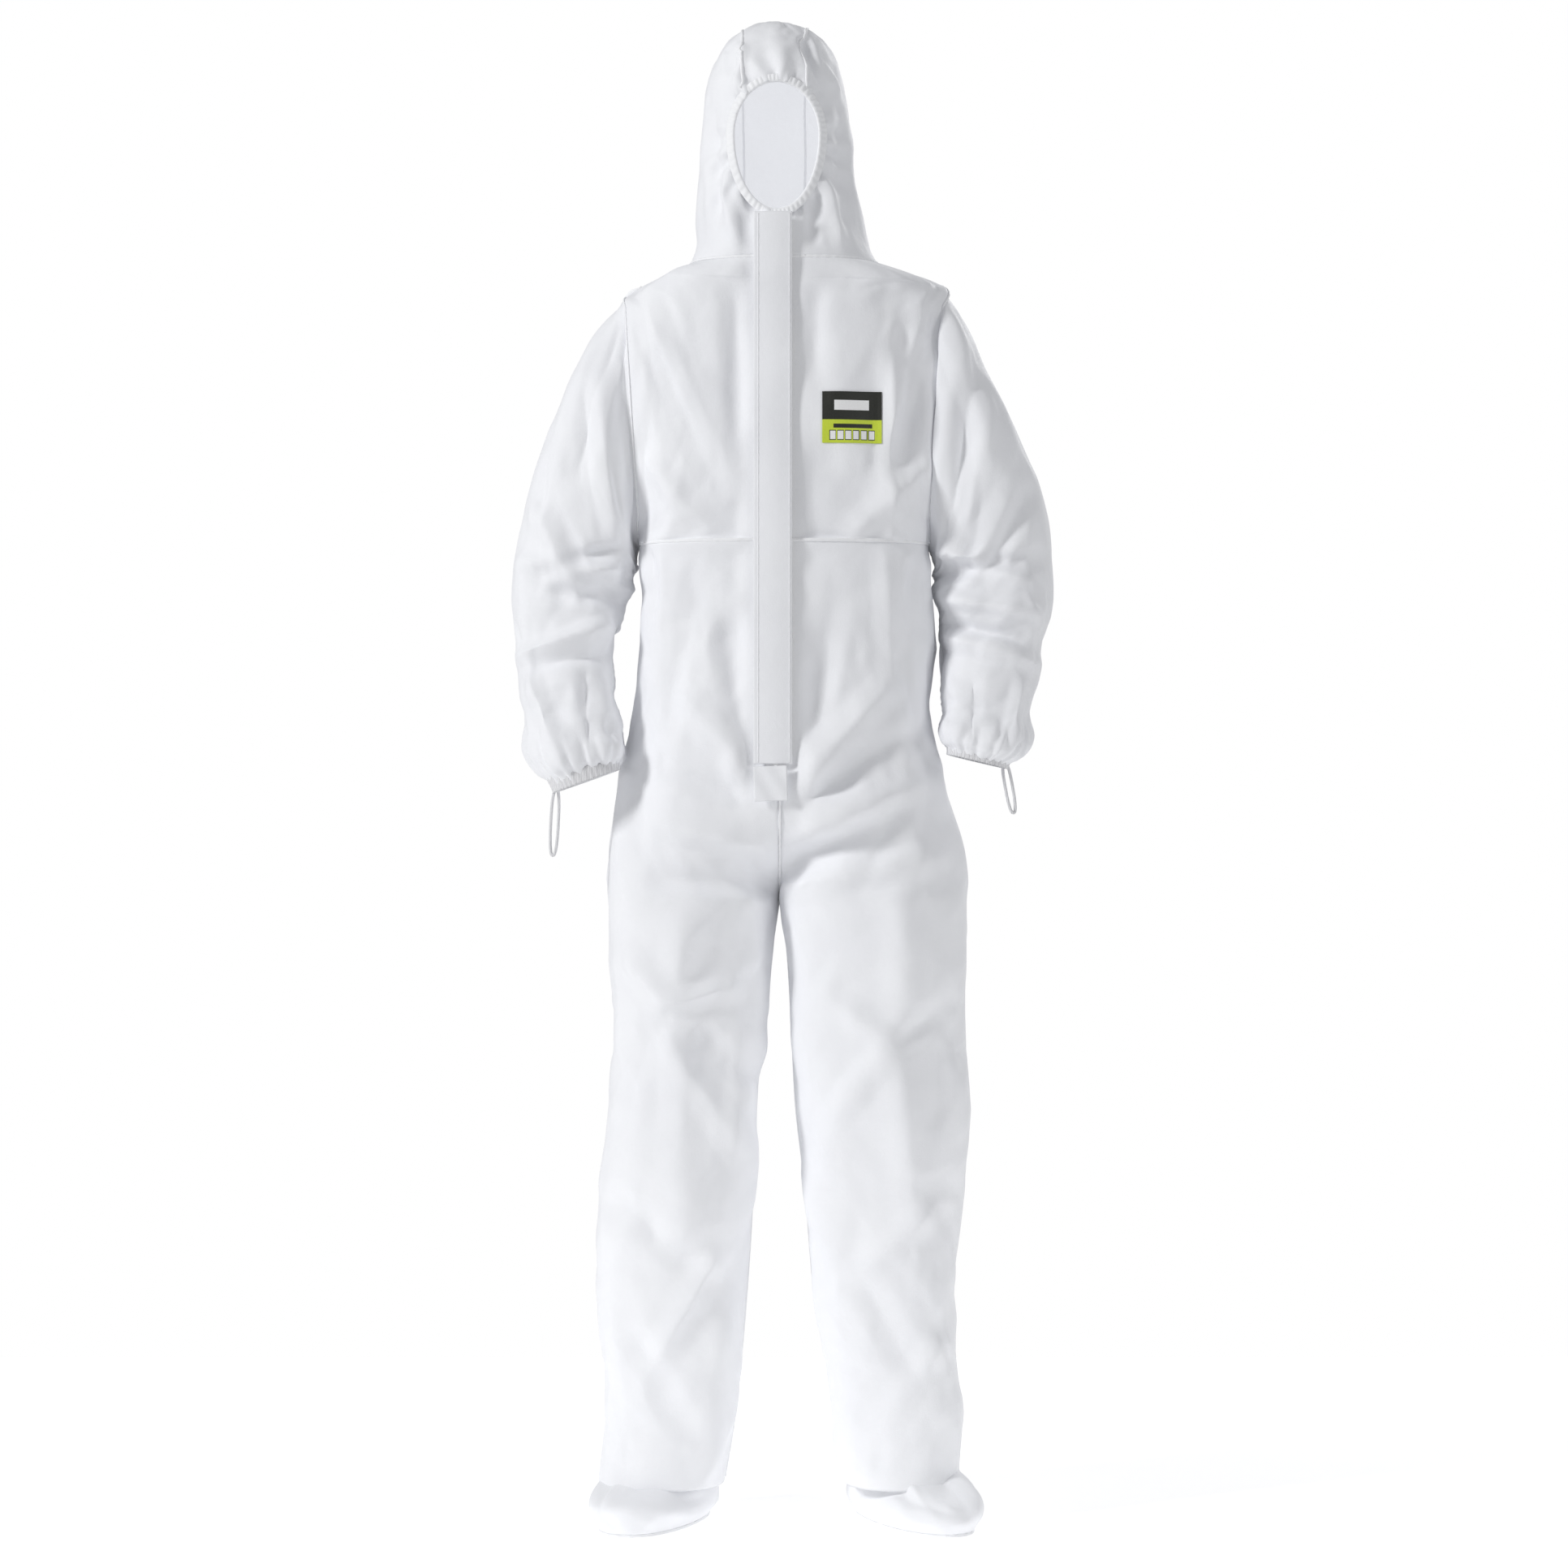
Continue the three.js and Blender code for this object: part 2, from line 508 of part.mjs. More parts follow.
// A thin elastic hem just inside the face opening.
function faceElastic() {
  const INSET = 4;
  const THICK = 2.5;
  const centreZ = (BROW_Z + HOOD_SPLIT_Z) / 2 + 4;
  const halfHeight = (BROW_Z - HOOD_SPLIT_Z) / 2 - INSET - 3;
  const [ROWS, SIDES] = [36, 4];
  const rings = Array.from({ length: ROWS }, (_, r) => {
    const angle = (r / ROWS) * 2 * Math.PI;
    const z = centreZ + halfHeight * Math.sin(angle);
    const halfWidth = Math.max(faceHalfWidth(z) - INSET, 8);
    const x = HOOD_X + halfWidth * signedPower(Math.cos(angle), 0.75);
    const y = hoodSurface(hoodTurn(() => x)(z), z).y;
    return Array.from({ length: SIDES }, (_unused, s) => {
      const around = ((s + 0.5) / SIDES) * 2 * Math.PI;
      const out = (THICK / 2) * Math.SQRT2 * Math.cos(around);
      const depth = (THICK / 2) * Math.SQRT2 * Math.sin(around);
      return new THREE.Vector3(x + out * Math.cos(angle), y + depth, z + out * Math.sin(angle));
    });
  });
  return closedRing(rings);
}

// A ring of small closed sections, with no ends.
function closedRing(rings) {
  const sides = rings[0].length;
  const positions = rings.flat().flatMap((p) => [p.x, p.y, p.z]);
  const faces = [];
  for (let r = 0; r < rings.length; r += 1) {
    for (let s = 0; s < sides; s += 1) {
      const next = (r + 1) % rings.length;
      const [a, b] = [r * sides + s, r * sides + ((s + 1) % sides)];
      const [c, d] = [next * sides + ((s + 1) % sides), next * sides + s];
      faces.push(a, b, c, a, c, d);
    }
  }
  const geometry = new THREE.BufferGeometry();
  geometry.setAttribute('position', new THREE.Float32BufferAttribute(positions, 3));
  geometry.setIndex(faces);
  geometry.computeVertexNormals();
  return geometry;
}

// ---- Zip and storm flap: flat pieces in a frame that lies along the straight centre front ----
// In this frame x is across, -y is out of the chest, and z runs up the zip from its bottom stop.
const ZIP = { bottom: 924, top: 1590, tape: 10, coil: 2.6 };
const FLAP = { left: 10, right: -32, bottom: 928, top: 1594, inner: -7.6, thick: 1.4 };
function addClosure() {
  const front = new THREE.Group();
  front.position.set(0, frontLineY(ZIP.bottom), ZIP.bottom);
  front.rotation.x = -FRONT_TILT;
  suit.add(front);
  const length = (ZIP.top - ZIP.bottom) / Math.cos(FRONT_TILT);
  const along = (z) => (z - ZIP.bottom) / Math.cos(FRONT_TILT);

  for (const [name, side] of [['left', 1], ['right', -1]]) {
    const tape = add(`zip_tape_${name}`, box(ZIP.tape, 1, length), ZIP_TAPE, front);
    tape.position.set(ZIP_X + side * (ZIP.tape / 2 + 0.3), 0.6, length / 2);
    const coil = add(`zip_coil_${name}`, box(ZIP.coil, 1.8, length - 16), ZIP_PLASTIC, front);
    coil.position.set(ZIP_X + side * (ZIP.coil / 2 + 0.2), -1.2, length / 2);
    const stop = add(`zip_top_stop_${name}`, box(3, 2, 4), ZIP_PLASTIC, front);
    stop.position.set(ZIP_X + side * 1.8, -1.2, length - 3.5);
  }
  const bottomStop = add('zip_bottom_stop', box(7, 2, 5), ZIP_PLASTIC, front);
  bottomStop.position.set(ZIP_X, -1.2, 5);

  const sliderZ = length - 18;
  const slider = add('zip_slider', sliderGeometry(), ZIP_PLASTIC, front);
  slider.position.set(ZIP_X, -2.6, sliderZ);
  const pull = add('zip_pull', pullGeometry(), ZIP_PLASTIC, front);
  pull.position.set(ZIP_X, -5.6, sliderZ);

  const flapLength = along(FLAP.top) - along(FLAP.bottom);
  const flapMiddle = (along(FLAP.top) + along(FLAP.bottom)) / 2;
  const flap = add('storm_flap', box(FLAP.left - FLAP.right, FLAP.thick, flapLength), FABRIC, front);
  flap.position.set((FLAP.left + FLAP.right) / 2, FLAP.inner - FLAP.thick / 2, flapMiddle);
  const strip = add('flap_adhesive_strip', box(6, 0.6, flapLength - 30), ADHESIVE, front);
  strip.position.set(FLAP.left - 5, FLAP.inner + 0.7, flapMiddle);
  const root = add('flap_seam_strip', box(5, 4.8, flapLength), FABRIC, front);
  root.position.set(FLAP.right - 3, -3.8, flapMiddle);
  const tab = add('flap_end_tab', box(40, 1.4, 42), FABRIC, front);
  tab.position.set(-16, -2.6, along(904.6));
}

function sliderGeometry() {
  const shape = new THREE.Shape();
  shape.moveTo(-3.5, -7);
  shape.lineTo(3.5, -7);
  shape.lineTo(5, 2);
  shape.quadraticCurveTo(5, 7, 1.5, 7);
  shape.lineTo(0, 4);
  shape.lineTo(-1.5, 7);
  shape.quadraticCurveTo(-5, 7, -5, 2);
  shape.closePath();
  const geometry = new THREE.ExtrudeGeometry(shape, { depth: 2.6, bevelEnabled: false, curveSegments: 3 });
  return geometry.rotateX(Math.PI / 2);
}

function pullGeometry() {
  const shape = new THREE.Shape();
  shape.absarc(0, 0, 3, 0, Math.PI, false);
  shape.lineTo(-3.5, -18);
  shape.absarc(0, -18, 3.5, Math.PI, 2 * Math.PI, false);
  shape.closePath();
  const eye = new THREE.Path();
  eye.absarc(0, -17.5, 1.8, 0, 2 * Math.PI, true);
  shape.holes.push(eye);
  const geometry = new THREE.ExtrudeGeometry(shape, { depth: 1.2, bevelEnabled: false, curveSegments: 6 });
  return geometry.rotateX(Math.PI / 2);
}

addUpperTrunk();
addSide('right', -1);
addSide('left', 1);
addHood();
addClosure();

export default suit;
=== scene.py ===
"""A white hooded disposable protective coverall with attached booties, standing as if worn.

Metres. +X is the wearer's left, -Y is the front, +Z is up. The garment is built as gridded fabric panels.
Straight folds and crushed-paper facets are pressed into them, and seams, hems, zip and flap finish it.
"""

import math

import bmesh
import bpy
import numpy as np
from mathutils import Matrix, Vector
from mathutils.bvhtree import BVHTree
from mathutils.geometry import delaunay_2d_cdt


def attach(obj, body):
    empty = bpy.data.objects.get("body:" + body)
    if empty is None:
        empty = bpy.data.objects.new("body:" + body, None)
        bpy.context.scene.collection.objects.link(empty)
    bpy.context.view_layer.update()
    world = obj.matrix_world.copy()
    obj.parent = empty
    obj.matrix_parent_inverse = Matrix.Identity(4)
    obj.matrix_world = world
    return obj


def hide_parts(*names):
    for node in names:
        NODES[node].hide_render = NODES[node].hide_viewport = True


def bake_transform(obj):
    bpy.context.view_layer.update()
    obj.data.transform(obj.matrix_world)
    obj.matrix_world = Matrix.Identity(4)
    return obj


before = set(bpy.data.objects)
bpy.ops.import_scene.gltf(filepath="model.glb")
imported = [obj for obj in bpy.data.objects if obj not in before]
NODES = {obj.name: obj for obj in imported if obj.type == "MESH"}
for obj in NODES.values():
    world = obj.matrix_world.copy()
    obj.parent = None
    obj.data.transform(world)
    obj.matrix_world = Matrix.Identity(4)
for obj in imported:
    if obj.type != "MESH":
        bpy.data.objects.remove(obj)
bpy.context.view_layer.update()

# ---- Driving dimensions, all in metres ----
FABRIC_THICKNESS = 0.0006
CENTRE_X = -0.005  # the centre seam below the zip
ZIP_X = -0.010
ZIP_GAP = 0.011  # from the zip's middle to the edge of each front panel
# A point on the centre front, and how far it leans back for each metre up.
FRONT_Y, FRONT_Z, FRONT_LEAN = -0.128, 0.880, 0.034
CROTCH_Z, FORK_Z = 0.765, 0.885
WAIST_Z, NECK_Z = 1.198, 1.541
SHOULDER_Z = 1.516  # where the armhole seam crosses the shoulder
CROWN_Z = 1.842
SEED = 7


def front_line(z):
    """The straight centre front, which leans back as it rises."""
    return FRONT_Y + (z - FRONT_Z) * FRONT_LEAN


def read_table(table, key):
    """Smooth values from rows of (key, value, value, ...) at each key."""
    rows = np.array(table, float)
    key = np.asarray(key, float)
    last = len(rows) - 1
    i = np.clip(np.searchsorted(rows[:, 0], key, side="right") - 1, 0, last - 1)
    p0, p1, p2, p3 = rows[np.maximum(i - 1, 0)], rows[i], rows[i + 1], rows[np.minimum(i + 2, last)]
    span = (p2[..., :1] - p1[..., :1])
    t = np.clip((key[..., None] - p1[..., :1]) / span, 0, 1)
    slope_in = (p2 - p0) / (p2[..., :1] - p0[..., :1]) * span
    slope_out = (p3 - p1) / (p3[..., :1] - p1[..., :1]) * span
    cubic = 2 * p1 - 2 * p2 + slope_in + slope_out
    square = -3 * p1 + 3 * p2 - 2 * slope_in - slope_out
    return (((cubic * t + square) * t + slope_in) * t + p1)[..., 1:]


def signed_power(value, power):
    return np.sign(value) * np.abs(value) ** power


def smooth(low, high, value):
    t = np.clip((value - low) / (high - low), 0, 1)
    return t * t * (3 - 2 * t)


# ---- Level rings: (z, left x, right x, front y, back y) ----
TRUNK_SQUARENESS = 2.5
TRUNK = [
    (0.765, 0.219, -0.218, -0.112, 0.124),
    (0.818, 0.215, -0.214, -0.121, 0.136),
    (0.866, 0.205, -0.206, front_line(0.866), 0.139),
    (0.914, 0.199, -0.199, front_line(0.914), 0.138),
    (0.960, 0.188, -0.187, front_line(0.960), 0.132),
    (1.010, 0.179, -0.178, front_line(1.010), 0.122),
    (1.100, 0.175, -0.175, front_line(1.100), 0.112),
    (1.198, 0.178, -0.178, front_line(1.198), 0.110),
    (1.280, 0.203, -0.201, front_line(1.280), 0.118),
    (1.360, 0.216, -0.214, front_line(1.360), 0.123),
    (1.430, 0.217, -0.216, front_line(1.430), 0.123),
    (1.480, 0.213, -0.209, front_line(1.480), 0.117),
    (1.506, 0.205, -0.190, front_line(1.506), 0.108),
    (1.524, 0.178, -0.158, front_line(1.524), 0.100),
    (1.541, 0.116, -0.115, front_line(1.541), 0.093),
]
HOOD_SQUARENESS = 2.3
HOOD = [
    (1.541, 0.116, -0.115, front_line(1.541), 0.093),
    (1.562, 0.103, -0.110, front_line(1.562), 0.098),
    (1.600, 0.095, -0.110, front_line(1.600), 0.112),
    (1.650, 0.087, -0.108, -0.1018, 0.122),
    (1.700, 0.085, -0.104, -0.100, 0.126),
    (1.754, 0.077, -0.100, -0.096, 0.122),
    (1.790, 0.067, -0.090, -0.087, 0.108),
    (1.815, 0.052, -0.074, -0.068, 0.088),
    (1.826, 0.042, -0.062, -0.055, 0.076),
    (1.834, 0.029, -0.048, -0.040, 0.060),
    (1.8385, 0.017, -0.036, -0.026, 0.044),
    (1.8412, 0.003, -0.022, -0.010, 0.026),
    (1.842, -0.006, -0.013, 0.002, 0.012),
]
SLEEVE_SQUARENESS = 2.3
# Sleeve rings: (step, inner x, inner z, outer x, outer z, front y, back y), x as a distance from the middle.
SLEEVES = {
    "right": [
        (0, 0.1806, 1.194, 0.196, 1.502, -0.076, 0.076),
        (1, 0.1825, 1.180, 0.219, 1.480, -0.079, 0.077),
        (2, 0.1845, 1.168, 0.257, 1.402, -0.078, 0.076),
        (3, 0.188, 1.154, 0.289, 1.322, -0.076, 0.075),
        (4, 0.193, 1.138, 0.313, 1.235, -0.074, 0.074),
        (5, 0.201, 1.112, 0.335, 1.130, -0.074, 0.072),
        (6, 0.207, 1.060, 0.333, 1.062, -0.084, 0.060),
        (7, 0.202, 1.000, 0.325, 1.000, -0.099, 0.038),
        (8, 0.199, 0.955, 0.309, 0.946, -0.112, 0.008),
        (9, 0.197, 0.922, 0.281, 0.892, -0.114, -0.030),
    ],
    "left": [
        (0, 0.1806, 1.194, 0.196, 1.502, -0.076, 0.076),
        (1, 0.1825, 1.180, 0.221, 1.484, -0.079, 0.077),
        (2, 0.184, 1.168, 0.262, 1.402, -0.078, 0.076),
        (3, 0.186, 1.154, 0.294, 1.318, -0.076, 0.075),
        (4, 0.189, 1.138, 0.322, 1.235, -0.074, 0.074),
        (5, 0.192, 1.112, 0.336, 1.130, -0.074, 0.072),
        (6, 0.190, 1.062, 0.326, 1.066, -0.082, 0.062),
        (7, 0.193, 1.008, 0.311, 1.010, -0.095, 0.042),
        (8, 0.196, 0.970, 0.296, 0.962, -0.107, 0.014),
        (9, 0.197, 0.940, 0.272, 0.922, -0.110, -0.024),
    ],
}
LEG_SQUARENESS = 2.3
# Leg rings: (z, inner x, outer x, front y, back y).
LEGS = {
    "right": [
        (0.048, -0.073, -0.228, -0.092, 0.084),
        (0.130, -0.060, -0.228, -0.084, 0.078),
        (0.266, -0.047, -0.234, -0.084, 0.082),
        (0.410, -0.038, -0.221, -0.088, 0.086),
        (0.506, -0.035, -0.213, -0.092, 0.088),
        (0.620, -0.024, -0.209, -0.096, 0.094),
        (0.700, -0.015, -0.213, -0.102, 0.104),
        (0.765, -0.0054, -0.217, -0.108, 0.118),
    ],
    "left": [
        (0.048, 0.073, 0.217, -0.092, 0.084),
        (0.130, 0.064, 0.219, -0.084, 0.078),
        (0.266, 0.039, 0.213, -0.084, 0.082),
        (0.410, 0.026, 0.217, -0.088, 0.086),
        (0.506, 0.015, 0.227, -0.092, 0.088),
        (0.620, 0.009, 0.224, -0.096, 0.094),
        (0.700, 0.004, 0.222, -0.102, 0.104),
        (0.765, -0.0046, 0.218, -0.108, 0.118),
    ],
}
SIDES = {"right": -1, "left": 1}


def stack(x, y, z):
    return np.stack(np.broadcast_arrays(x, y, z), axis=-1)


def ring(inner, outer, front, back, squareness, turn):
    """A point on a ring. Turn 0 to 1 runs from its inner side over the front, the outer side and the back."""
    angle = turn * 2 * np.pi
    across = signed_power(np.cos(angle), 2 / squareness)
    forward = signed_power(np.sin(angle), 2 / squareness)
    x = (inner[0] + outer[0]) / 2 + (inner[0] - outer[0]) / 2 * across
    z = (inner[1] + outer[1]) / 2 + (inner[1] - outer[1]) / 2 * across
    return stack(x, (front + back) / 2 - (back - front) / 2 * forward, z)


def level_ring(table, squareness, turn, z):
    left, right, front, back = np.moveaxis(read_table(table, z), -1, 0)
    return ring((left, z), (right, z), front, back, squareness, turn)


def trunk(turn, z):
    return level_ring(TRUNK, TRUNK_SQUARENESS, turn, z)


def hood_squareness(z):
    """The hood starts with the trunk's outline at the neck seam."""
    return HOOD_SQUARENESS + (TRUNK_SQUARENESS - HOOD_SQUARENESS) * smooth(1.600, NECK_Z, z)


def hood(turn, z):
    return level_ring(HOOD, hood_squareness(z), turn, z)


def turn_at_x(table, squareness, x, z):
    """The turn at which a level ring passes x on its front half."""
    left, right = np.moveaxis(read_table(table, z), -1, 0)[:2]
    across = np.clip((x - (left + right) / 2) / ((left - right) / 2), -1, 1)
    return np.arccos(signed_power(across, squareness / 2)) / (2 * np.pi)


def trunk_turn(x, z):
    return turn_at_x(TRUNK, TRUNK_SQUARENESS, x, z)


def hood_turn(x, z):
    return turn_at_x(HOOD, hood_squareness(z), x, z)


# The seam's straight part starts at x and moves out by lean, and the two ends curve round to the side.
ARMHOLE = {"low_z": 1.182, "high_z": 1.508, "x": 0.175, "lean": 0.020,
           "low_curve": 0.034, "high_curve": 0.030}


def armhole_turn(side, z):
    """Where the armhole seam lies on the front half of the trunk's ring: at the side below and above it."""
    share = (z - ARMHOLE["low_z"]) / (ARMHOLE["high_z"] - ARMHOLE["low_z"])
    straight = trunk_turn(side * (ARMHOLE["x"] + share * ARMHOLE["lean"]), z)
    at_side = 0.5 if side < 0 else 0.0
    low = np.sqrt(np.clip((z - WAIST_Z) / ARMHOLE["low_curve"], 0, 1))
    high = np.sqrt(np.clip((SHOULDER_Z - z) / ARMHOLE["high_curve"], 0, 1))
    return at_side + (straight - at_side) * low * high


def trunk_half(side, turn, z):
    """One side of the trunk, from the centre front around the side to the centre back."""
    left, right, front, back = np.moveaxis(read_table(TRUNK, z), -1, 0)
    reach = (left if side > 0 else right) - CENTRE_X
    angle = turn * np.pi
    forward = signed_power(np.cos(angle), 2 / TRUNK_SQUARENESS)
    across = np.abs(np.sin(angle)) ** (2 / TRUNK_SQUARENESS)
    return stack(CENTRE_X + reach * across, (front + back) / 2 - (back - front) / 2 * forward, z)


def leg(name):
    side = SIDES[name]

    def surface(turn, z):
        inner, outer, front, back = np.moveaxis(read_table(LEGS[name], np.minimum(z, CROTCH_Z)), -1, 0)
        tube = ring((inner, z), (outer, z), front, back, LEG_SQUARENESS, turn)
        share = np.sqrt(smooth(CROTCH_Z, FORK_Z, z))[..., None]
        return tube + (trunk_half(side, turn, z) - tube) * share

    return surface


def sleeve(name):
    side = SIDES[name]

    def surface(turn, step):
        values = np.moveaxis(read_table(SLEEVES[name], step), -1, 0)
        inner_x, inner_z, outer_x, outer_z, front, back = values
        inner, outer = (side * inner_x, inner_z), (side * outer_x, outer_z)
        tube = ring(inner, outer, front, back, SLEEVE_SQUARENESS, turn)
        rise = (1 - np.cos(turn * 2 * np.pi)) / 2
        seam_z = WAIST_Z + (SHOULDER_Z - WAIST_Z) * rise
        front_turn = armhole_turn(side, seam_z)
        seam = trunk(np.where(turn <= 0.5, front_turn, 1 - front_turn), seam_z)
        return seam + (tube - seam) * smooth(0, 1.6, step)[..., None]

    return surface


BOOTIES = {"right": (-0.158, -0.020, 20), "left": (0.160, -0.021, 24)}
FOOT_SQUARENESS = 2.2
# Foot rings: (z, length, width, shift to the front).
FOOT = [
    (0.000, 0.232, 0.104, 0.000),
    (0.020, 0.250, 0.124, 0.000),
    (0.038, 0.236, 0.122, -0.002),
    (0.052, 0.192, 0.112, -0.014),
    (0.064, 0.150, 0.106, -0.026),
    (0.085, 0.130, 0.102, -0.031),
    (0.150, 0.118, 0.098, -0.030),
]


def bootie(name):
    side = SIDES[name]
    centre_x, centre_y, turn_out = BOOTIES[name]
    out = side * math.radians(turn_out)

    def surface(turn, z):
        length, width, shift = np.moveaxis(read_table(FOOT, z), -1, 0)
        angle = turn * 2 * np.pi
        across = side * -(width / 2) * signed_power(np.cos(angle), 2 / FOOT_SQUARENESS)
        along = -(length / 2) * signed_power(np.sin(angle), 2 / FOOT_SQUARENESS) - shift
        x = across * math.cos(out) - along * math.sin(out)
        y = across * math.sin(out) + along * math.cos(out)
        return stack(centre_x + x, centre_y + y, z)

    return surface


# ---- Meshes from grids ----
def grid(surface, turns, levels, columns, rows, spacing=None):
    """A surface's points between two levels and two turns. A turn may be a function of the level."""
    v = np.linspace(0, 1, rows + 1) if spacing is None else spacing
    level = levels[0] + (levels[1] - levels[0]) * v[:, None] * np.ones(columns + 1)
    ends = [bound(level) if callable(bound) else np.full_like(level, bound) for bound in turns]
    u = np.linspace(0, 1, columns + 1)[None, :]
    return surface(ends[0] + (ends[1] - ends[0]) * u, level)


def quads(rows, columns, wrap=False):
    cells = []
    width = columns if wrap else columns + 1
    for r in range(rows):
        for c in range(columns):
            d = (c + 1) % width
            cells.append((r * width + c, r * width + d, (r + 1) * width + d, (r + 1) * width + c))
    return cells


def mesh_object(name, vertices, faces, material=None):
    mesh = bpy.data.meshes.new(name)
    mesh.from_pydata([tuple(map(float, v)) for v in vertices], [], faces)
    mesh.validate()
    mesh.polygons.foreach_set("use_smooth", [True] * len(mesh.polygons))
    obj = bpy.data.objects.new(name, mesh)
    bpy.context.collection.objects.link(obj)
    if material:
        mesh.materials.append(material)
    return obj


class Panel:
    """A grid of fabric. Its borders are seams."""

    def __init__(self, name, points, wrap=False):
        self.name = name
        self.rows, self.columns = points.shape[0] - 1, points.shape[1] - 1
        self.wrap = wrap
        self.points = points[:, :-1] if wrap else points
        self.faces = quads(self.rows, self.columns, wrap)

    def normals(self):
        p = self.points
        along = np.gradient(p, axis=0)
        if self.wrap:
            across = (np.roll(p, -1, axis=1) - np.roll(p, 1, axis=1)) / 2
        else:
            across = np.gradient(p, axis=1)
        normal = np.cross(across, along)
        normal /= np.maximum(np.linalg.norm(normal, axis=-1, keepdims=True), 1e-9)
        return normal


# ---- Materials ----
def new_material(name):
    """A material with its nodes, its shader and the object's own coordinates."""
    material = bpy.data.materials.new(name)
    material.use_nodes = True
    tree = material.node_tree
    where = tree.nodes.new("ShaderNodeTexCoord").outputs["Object"]
    return material, tree, tree.nodes["Principled BSDF"], where


def set_inputs(node, values):
    for name, value in values.items():
        node.inputs[name].default_value = value


def add_node(tree, kind, values, where=None):
    """Adds a node, with where linked to its Vector input."""
    node = tree.nodes.new(kind)
    set_inputs(node, values)
    if where:
        tree.links.new(where, node.inputs["Vector"])
    return node


def noise(tree, scale, detail, roughness, where):
    values = {"Scale": scale, "Detail": detail, "Roughness": roughness}
    return add_node(tree, "ShaderNodeTexNoise", values, where)


def ramp(tree, factor, target, low, dark, high, light):
    """Colours a target by a factor, from dark at low to light at high."""
    node = tree.nodes.new("ShaderNodeValToRGB")
    tree.links.new(factor, node.inputs["Fac"])
    for element, (position, colour) in zip(node.color_ramp.elements, ((low, dark), (high, light))):
        element.position = position
        element.color = (*colour, 1)
    tree.links.new(node.outputs["Color"], target)


def bump(tree, height, strength, distance, under=None):
    node = add_node(tree, "ShaderNodeBump", {"Strength": strength, "Distance": distance})
    tree.links.new(height, node.inputs["Height"])
    if under:
        tree.links.new(under, node.inputs["Normal"])
    return node.outputs["Normal"]


def nonwoven(name, light, dark, crinkle=0.5, glow=0.0):
    """Spun-bonded fabric: random fibres, a fine point-bond emboss, and paper-like crinkles. A glow above 0
    makes the fabric emit light in its own colour, a painted glow.
    """
    material, tree, shader, where = new_material(name)
    cloud = noise(tree, 9.0, 4.0, 0.6, where)
    ramp(tree, cloud.outputs["Fac"], shader.inputs["Base Color"], 0.3, dark, 0.7, light)
    fibres = noise(tree, 420.0, 4.0, 0.7, where)
    bond = add_node(tree, "ShaderNodeTexVoronoi", {"Scale": 650.0, "Randomness": 0.35}, where)
    folds = tree.nodes.new("ShaderNodeTexVoronoi")
    folds.feature = "DISTANCE_TO_EDGE"
    folds.inputs["Scale"].default_value = 26.0
    warp = noise(tree, 12.0, 3.0, 0.5, where)
    mixed = tree.nodes.new("ShaderNodeMix")
    mixed.data_type = "VECTOR"
    mixed.inputs["Factor"].default_value = 0.12
    tree.links.new(where, mixed.inputs["A"])
    tree.links.new(warp.outputs["Color"], mixed.inputs["B"])
    tree.links.new(mixed.outputs["Result"], folds.inputs["Vector"])
    crumple = noise(tree, 34.0, 5.0, 0.55, where)
    surface = bump(tree, crumple.outputs["Fac"], 0.35 * crinkle, 0.006)
    surface = bump(tree, folds.outputs["Distance"], 0.22 * crinkle, 0.004, surface)
    surface = bump(tree, fibres.outputs["Fac"], 0.20, 0.0008, surface)
    surface = bump(tree, bond.outputs["Distance"], 0.12, 0.0006, surface)
    tree.links.new(surface, shader.inputs["Normal"])
    ramp(tree, fibres.outputs["Fac"], shader.inputs["Roughness"], 0.2, (0.55,) * 3, 0.8, (0.72,) * 3)
    set_inputs(shader, {"Specular IOR Level": 0.32, "Sheen Weight": 0.08, "Emission Color": (*light, 1),
                        "Emission Strength": glow})
    return material


def pattern(name, kind, values, strength, height, low, dark, high, light, rough):
    """A material whose colour and bumps follow one texture."""
    material, tree, shader, where = new_material(name)
    factor = add_node(tree, kind, values, where).outputs["Fac"]
    ramp(tree, factor, shader.inputs["Base Color"], low, dark, high, light)
    tree.links.new(bump(tree, factor, strength, height), shader.inputs["Normal"])
    shader.inputs["Roughness"].default_value = rough
    return material


def ribbed(name, light, dark, rate):
    """Gathered elastic: fine ribs across the band. The colour follows the ribs' bumps, so the grooves are
    coloured darker than the crests: painted shade.
    """
    values = {"Scale": rate, "Distortion": 3.0, "Detail": 2.0}
    return pattern(name, "ShaderNodeTexWave", values, 0.5, 0.0006, 0.2, dark, 0.8, light, 0.8)


def plain(name, light, dark, rough, scale, height):
    """A printed or moulded surface with fine mottling."""
    values = {"Scale": scale, "Detail": 3.0, "Roughness": 0.6}
    return pattern(name, "ShaderNodeTexNoise", values, 0.3, height, 0.3, dark, 0.7, light, rough)


FABRIC = nonwoven("nonwoven_outer", (0.905, 0.912, 0.935), (0.870, 0.876, 0.905))
